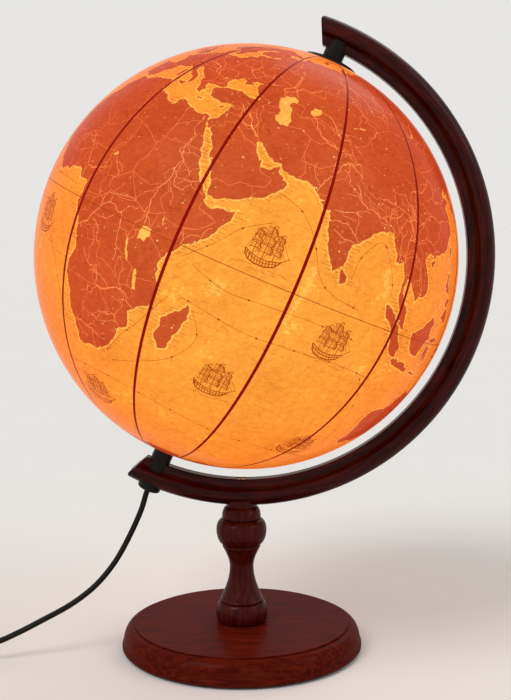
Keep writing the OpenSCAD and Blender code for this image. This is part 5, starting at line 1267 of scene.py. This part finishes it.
def drawCoast(p, rng):
    area = np.cross(p, np.roll(p, -1, 0)).sum(0) @ unitRows(p.mean(0)[None])[0]
    outward = -1 if area > 0 else 1
    if len(p) <= globeMap["speck"]:
        ribbon(p, 0.4, coastNo, True, outward)
        return
    ribbon(p, globeMap["coastLine"] * (1 + 0.25 * np.sin(np.arange(len(p)) * 0.9)), coastNo, True, outward)
    east = np.stack([-p[:, 1], p[:, 0], np.zeros(len(p))], 1)
    lean = (sideways(p, True) * outward * unitRows(east)).sum(1)
    last = p[0]
    for i in np.where((np.abs(lean) > 0.55) & (np.abs(p[:, 2]) < 0.94))[0]:      # strokes out to sea
        if np.linalg.norm(p[i] - last) * globeRadius < rng.uniform(1.7, 3.4) * mm:
            continue
        last, way, long = p[i], math.copysign(1, lean[i]), rng.uniform(2.4, 6.5)
        stroke = np.array([near(p[i], way * x, 0) for x in (0.9, 0.9 + long)])
        ribbon(stroke, globeMap["fineLine"], softNo)


def coastShoals(coasts, rng):      # pale water along the continents' coasts
    points = np.concatenate(coasts[:4])
    return [(near(points[i], rng.normal(0, 2), rng.normal(0, 2)), rng.uniform(4, 9), rng.uniform(0.15, 0.5))
            for i in rng.permutation(len(points))[:110]]


def drawRiver(text, rng):
    step = globeMap["riverStep"]
    p = roughen(toSphere(readPairs(text)), False, step, 0.16, rng)
    ribbon(p, globeMap["riverLine"], riverNo)
    for i in range(4, len(p) - 1, rng.integers(7, 12)):      # its smaller arms
        aside = sideways(p[i - 1:i + 1], False)[0] * rng.choice([-1, 1])
        along = (p[i] - p[i - 1]) / np.linalg.norm(p[i] - p[i - 1])
        reach = rng.uniform(4, 13) * mm / globeRadius
        bend, end = (aside * 0.7 + along * 0.7) * reach, (aside * 0.9 + along * 1.5) * reach
        branch = unitRows(np.array([p[i], p[i] + bend, p[i] + end]))
        ribbon(roughen(branch, False, step, 0.22, rng), globeMap["fineLine"], riverNo)


def drawTowns(coasts, rng):
    for spot in toSphere(readPairs(cities)):
        disc(spot, globeMap["cityDot"], cityNo)
    tries = globeMap["towns"]
    lon = rng.uniform(-180, 180, tries)
    spots = toSphere(np.stack([lon, np.degrees(np.arcsin(rng.uniform(-0.6, 0.93, tries)))], 1))
    for side in (1, -1):
        half = spots[side * spots[:, 2] > 0]
        onLand = np.zeros(len(half), bool)
        for p in coasts:
            if (side * p[:, 2]).max() > 0 and len(p) > globeMap["speck"]:
                onLand |= insidePolygon(flat(half, side), flat(p, side))
        for spot in half[onLand]:
            disc(spot, rng.uniform(0.24, 0.44), cityNo, 4)


def drawCurrent(text):      # a soft line with an arrow's head every 26 mm
    p = smoothPath(toSphere(readPairs(text)), 10)
    ribbon(p, globeMap["inkLine"], softNo)
    lengths = np.linalg.norm(np.diff(p, axis=0), axis=1)
    reach = np.concatenate([[0], np.cumsum(lengths)]) * globeRadius / mm
    unit = mm / globeRadius
    for place in np.arange(14, reach[-1], 26):
        i = int(np.searchsorted(reach, place))
        ahead, aside = p[i] - p[i - 1], sideways(p[i - 1:i + 1], False)[0]
        ahead = ahead / np.linalg.norm(ahead)
        head = [p[i] + ahead * 2.3 * unit, p[i] + aside * 0.8 * unit, p[i] - aside * 0.8 * unit]
        printed.append((unitRows(np.array(head)), inkNo))


def drawRange(text, rng):      # small peaks, each with a stroke of shade
    p = smoothPath(toSphere(readPairs(text)), 14)
    for i in range(0, len(p), 2):
        middle = near(p[i], rng.normal(0, 1.3), rng.normal(0, 1.3))
        w, h = rng.uniform(0.8, 1.5), rng.uniform(0.8, 1.6)
        for marks in (((-w, -h / 2), (-0.1, h / 2), (w * 0.9, -h / 2)), ((0.35, h / 3), (w * 0.55, -h / 2))):
            ribbon(np.array([near(middle, x, y) for x, y in marks]), globeMap["fineLine"], inkNo)


def drawGraticule():      # dashed parallels, the equator and the gores' seams
    radius = globeRadius / mm
    for lat in drawn["parallels"]:
        share = 360 / (2 * math.pi * radius * math.cos(math.radians(lat)))      # degrees in a millimetre
        for sign in (1, -1):
            for lon in np.arange(0, 360 - 3 * share, 6.5 * share):
                ribbon(toSphere([(lon, sign * lat), (lon + 3 * share, sign * lat)]), 0.26, softNo)
    lon = np.arange(0, 360, 1.5)
    ribbon(toSphere(np.stack([lon, 0 * lon], 1)), 0.5, inkNo, closed=True)
    lat = np.linspace(-87.5, 87.5, 71)
    for k in range(globeMap["gores"]):
        lon = np.full(len(lat), globeMap["goreStart"] + 360 / globeMap["gores"] * k)
        width = globeMap["goreLine"] * (0.3 + 0.7 * np.cos(np.radians(lat)))
        ribbon(toSphere(np.stack([lon, lat], 1)), width, goreNo)


def drawMap(rng):
    coasts = drawOutlines(continents, rng) + drawOutlines(islands, rng)
    shores = drawOutlines(lakes, rng)
    shoals = drawShoals(coasts, rng)
    for p in coasts:
        drawCoast(p, rng)
    shoals += coastShoals(coasts, rng)
    for text in rivers.values():
        drawRiver(text, rng)
    for text in borders:
        ribbon(roughen(toSphere(readPairs(text)), False, 0.02, 0.06, rng), globeMap["borderLine"], borderNo)
    drawTowns(coasts, rng)
    for text in drawn["currents"]:
        drawCurrent(text)
    for text in drawn["ranges"]:
        drawRange(text, rng)
    drawGraticule()
    for lon, lat, size, facing in drawn["ships"]:
        drawShip(lon, lat, size, facing, rng)
    return coasts, shores, shoals


# Each half shell: the printed skin, a plainer one inside it, and walls between their open edges
def openEdges(triangles, n):
    pairs = np.concatenate([triangles[:, [0, 1]], triangles[:, [1, 2]], triangles[:, [2, 0]]])
    keys = np.sort(pairs, axis=1) @ np.array([n + 1, 1])
    _, first, count = np.unique(keys, return_index=True, return_counts=True)
    return pairs[first[count == 1]]


def innerSkin(side, rim, edges):
    hole = holeReach(side)
    points = np.concatenate([rim, gridRings(globeMap["innerStep"], hole * 1.6)])
    out, _, found, origins, _, _ = delaunay_2d_cdt([Vector(v) for v in points], edges, [], 0, 1e-9, True)
    back = [o[0] for o in origins]
    middles = np.array([np.mean([out[v][:] for v in t], axis=0) for t in found])
    inside = (middles ** 2).sum(1) > (hole * 0.999) ** 2
    faces = [tuple(back[v] for v in reversed(t)) for t, keep in zip(found, inside) if keep]
    return lifted(points, side) * (1 - globeMap["wall"] * mm / globeRadius), faces


def cornerColours(outer, triangles, kind, shoals):
    colours = np.array([printColours[name] for name in printOrder])[kind][:, None]
    glow = (shoalGlow(outer, shoals)[triangles] * (kind == seaNo)[:, None])[:, :, None]
    return colours * (1 - glow) + np.array(printColours["shoal"]) * glow


def lapRing():      # fixed in the southern half; the northern half's edge goes over it
    height, wall = globeMap["lap"]
    bore = globeRadius / mm - globeMap["wall"]
    reach = math.sqrt(bore ** 2 - height ** 2) - globeMap["lapGap"]
    half = bore + globeMap["wall"] / 2
    profile = [(reach - wall, height), (reach, height), (reach, 0), (half, 0), (half, -height),
               (reach - wall, -height)]
    verts, faces = turnedMesh(profile, globeMap["lapSides"])
    normals = []
    for f in faces:
        a, b, c = (np.array(verts[v]) for v in f[:3])
        w = np.cross(b - a, c - a)
        normals += [w / np.linalg.norm(w)] * 4
    return np.array(verts), faces, np.array(normals)


def shellHalf(name, side, coasts, shores, shoals, material):
    q, triangles, kind = halfSkin(side, coasts, shores)
    r2 = (q ** 2).sum(1)
    rim = r2 > 0.9997
    q[rim] /= np.sqrt(r2[rim])[:, None]
    outer = lifted(q, side)
    n = len(outer)
    rimPairs = openEdges(triangles, n).tolist()
    rimPoints = np.unique(rimPairs)
    place = {int(v): i for i, v in enumerate(rimPoints)}
    inner, innerFaces = innerSkin(side, q[rimPoints], [(place[a], place[b]) for a, b in rimPairs])
    walls = [(b, a, n + place[a], n + place[b]) for a, b in rimPairs]
    faces = [tuple(t) for t in triangles] + [tuple(n + v for v in f) for f in innerFaces] + walls
    verts = np.concatenate([outer, inner])
    colours = cornerColours(outer, triangles, kind, shoals)
    normals = [outer[triangles], -unitRows(inner)[np.array(innerFaces)]]
    across = np.array([np.cross(verts[a] - verts[b], verts[c] - verts[b]) for b, a, c, d in walls])
    across /= np.maximum(1e-12, np.linalg.norm(across, axis=1))[:, None]
    normals.append(np.repeat(across[:, None], 4, axis=1))
    if side < 0:
        # a face turned round has its corners in the other order, and its wall looks the other way
        faces = [f[::-1] for f in faces]
        colours = colours[:, ::-1]
        normals = [part[:, ::-1] for part in normals]
        normals[-1] = -normals[-1]
    verts, normals = verts * globeRadius, np.concatenate([part.reshape(-1, 3) for part in normals])
    if side < 0:
        ringVerts, ringFaces, ringNormals = lapRing()
        faces += [tuple(len(verts) + v for v in f) for f in ringFaces]
        verts = np.concatenate([verts, ringVerts])
        normals = np.concatenate([normals, ringNormals])
    colours = colours.reshape(-1, 3)
    plain = np.array(printColours["sea"]) * 0.8 + 0.1      # the paper's unprinted side
    colours = np.concatenate([colours, np.tile(plain, (len(normals) - len(colours), 1))])
    turn = np.array(bodyFrame.to_3x3())
    verts = verts @ turn.T + np.array(globeCentre)
    normals = normals @ turn.T
    piece = meshObject(name, verts, faces, material, "globe")
    layer = piece.data.color_attributes.new("printColour", "FLOAT_COLOR", "CORNER")
    colours = np.concatenate([colours, np.ones((len(colours), 1))], 1)
    layer.data.foreach_set("color", colours.ravel().astype(np.float32))
    piece.data.normals_split_custom_set(normals.tolist())
    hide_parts({1: "north_shell", -1: "south_shell"}[side])
    print(name, len(verts), "points,", len(faces), "faces")
    return piece


# Print on a thin lit shell: the print's own glow and the room's light together
printLook = {
    "glow": 0.92,
    "paper": 0.20,                      # share of the print's colour that room light shows
    "cloudy": (0.84, 1.08),             # light through the shell, from its dull to its clear parts
    "fibre": (0.76, 1.18),              # and through the paper's fibres
    "tint": ((0.55, 1.0, 1.1), (0.45, 0.0, -0.1)),      # dull parts lose more green and blue than red
    "coat": 0.8,
    "coatIor": 1.08,
    "coatTint": (1.0, 0.60, 0.34),      # the limb is redder than the middle
    "coatRoughness": 0.2,
    "roughness": 0.5,
    "gloss": 0.02,
}


def vectorMath(tree, operation, inputs):
    return addNode(tree, "ShaderNodeVectorMath", inputs, operation=operation).outputs[0]


def printMaterial():
    material, tree, shader = newMaterial("printedShell")
    colour = addNode(tree, "ShaderNodeAttribute", attribute_name="printColour").outputs["Color"]
    cloudy = noise(tree, objectPoint(tree), 26.0, 5.0, 0.6)["Fac"]
    fibre = noise(tree, objectPoint(tree, (1, 1, 1.6)), 230.0, 5.0, 0.66, 0.9)["Fac"]
    soft = spread(tree, cloudy, 0.3, 0.72, *printLook["cloudy"])
    fine = spread(tree, fibre, 0.32, 0.68, *printLook["fibre"])
    scale, offset = printLook["tint"]
    tint = vectorMath(tree, "MULTIPLY_ADD", {0: mathNode(tree, "MULTIPLY", soft, fine), 1: scale, 2: offset})
    mottled = vectorMath(tree, "MULTIPLY", {0: colour, 1: tint})
    paper = vectorMath(tree, "SCALE", {0: mottled, "Scale": printLook["paper"]})
    tree.links.new(paper, shader.inputs["Base Color"])
    tree.links.new(mottled, shader.inputs["Emission Color"])
    setInputs(shader, {"Emission Strength": printLook["glow"], "Roughness": printLook["roughness"],
                       "Specular IOR Level": printLook["gloss"], "Coat Weight": printLook["coat"],
                       "Coat IOR": printLook["coatIor"], "Coat Roughness": printLook["coatRoughness"],
                       "Coat Tint": (*printLook["coatTint"], 1)})
    bump(tree, shader, fibre, 0.05, 0.0002)
    return material


materials["map_globe"] = printMaterial()
coastLines, lakeShores, shoalSpots = drawMap(np.random.default_rng(globeMap["seed"]))
print("map drawn,", len(printed), "printed shapes")
northPrint = shellHalf("northPrint", 1, coastLines, lakeShores, shoalSpots, materials["map_globe"])
southPrint = shellHalf("southPrint", -1, coastLines, lakeShores, shoalSpots, materials["map_globe"])

bpy.context.view_layer.update()
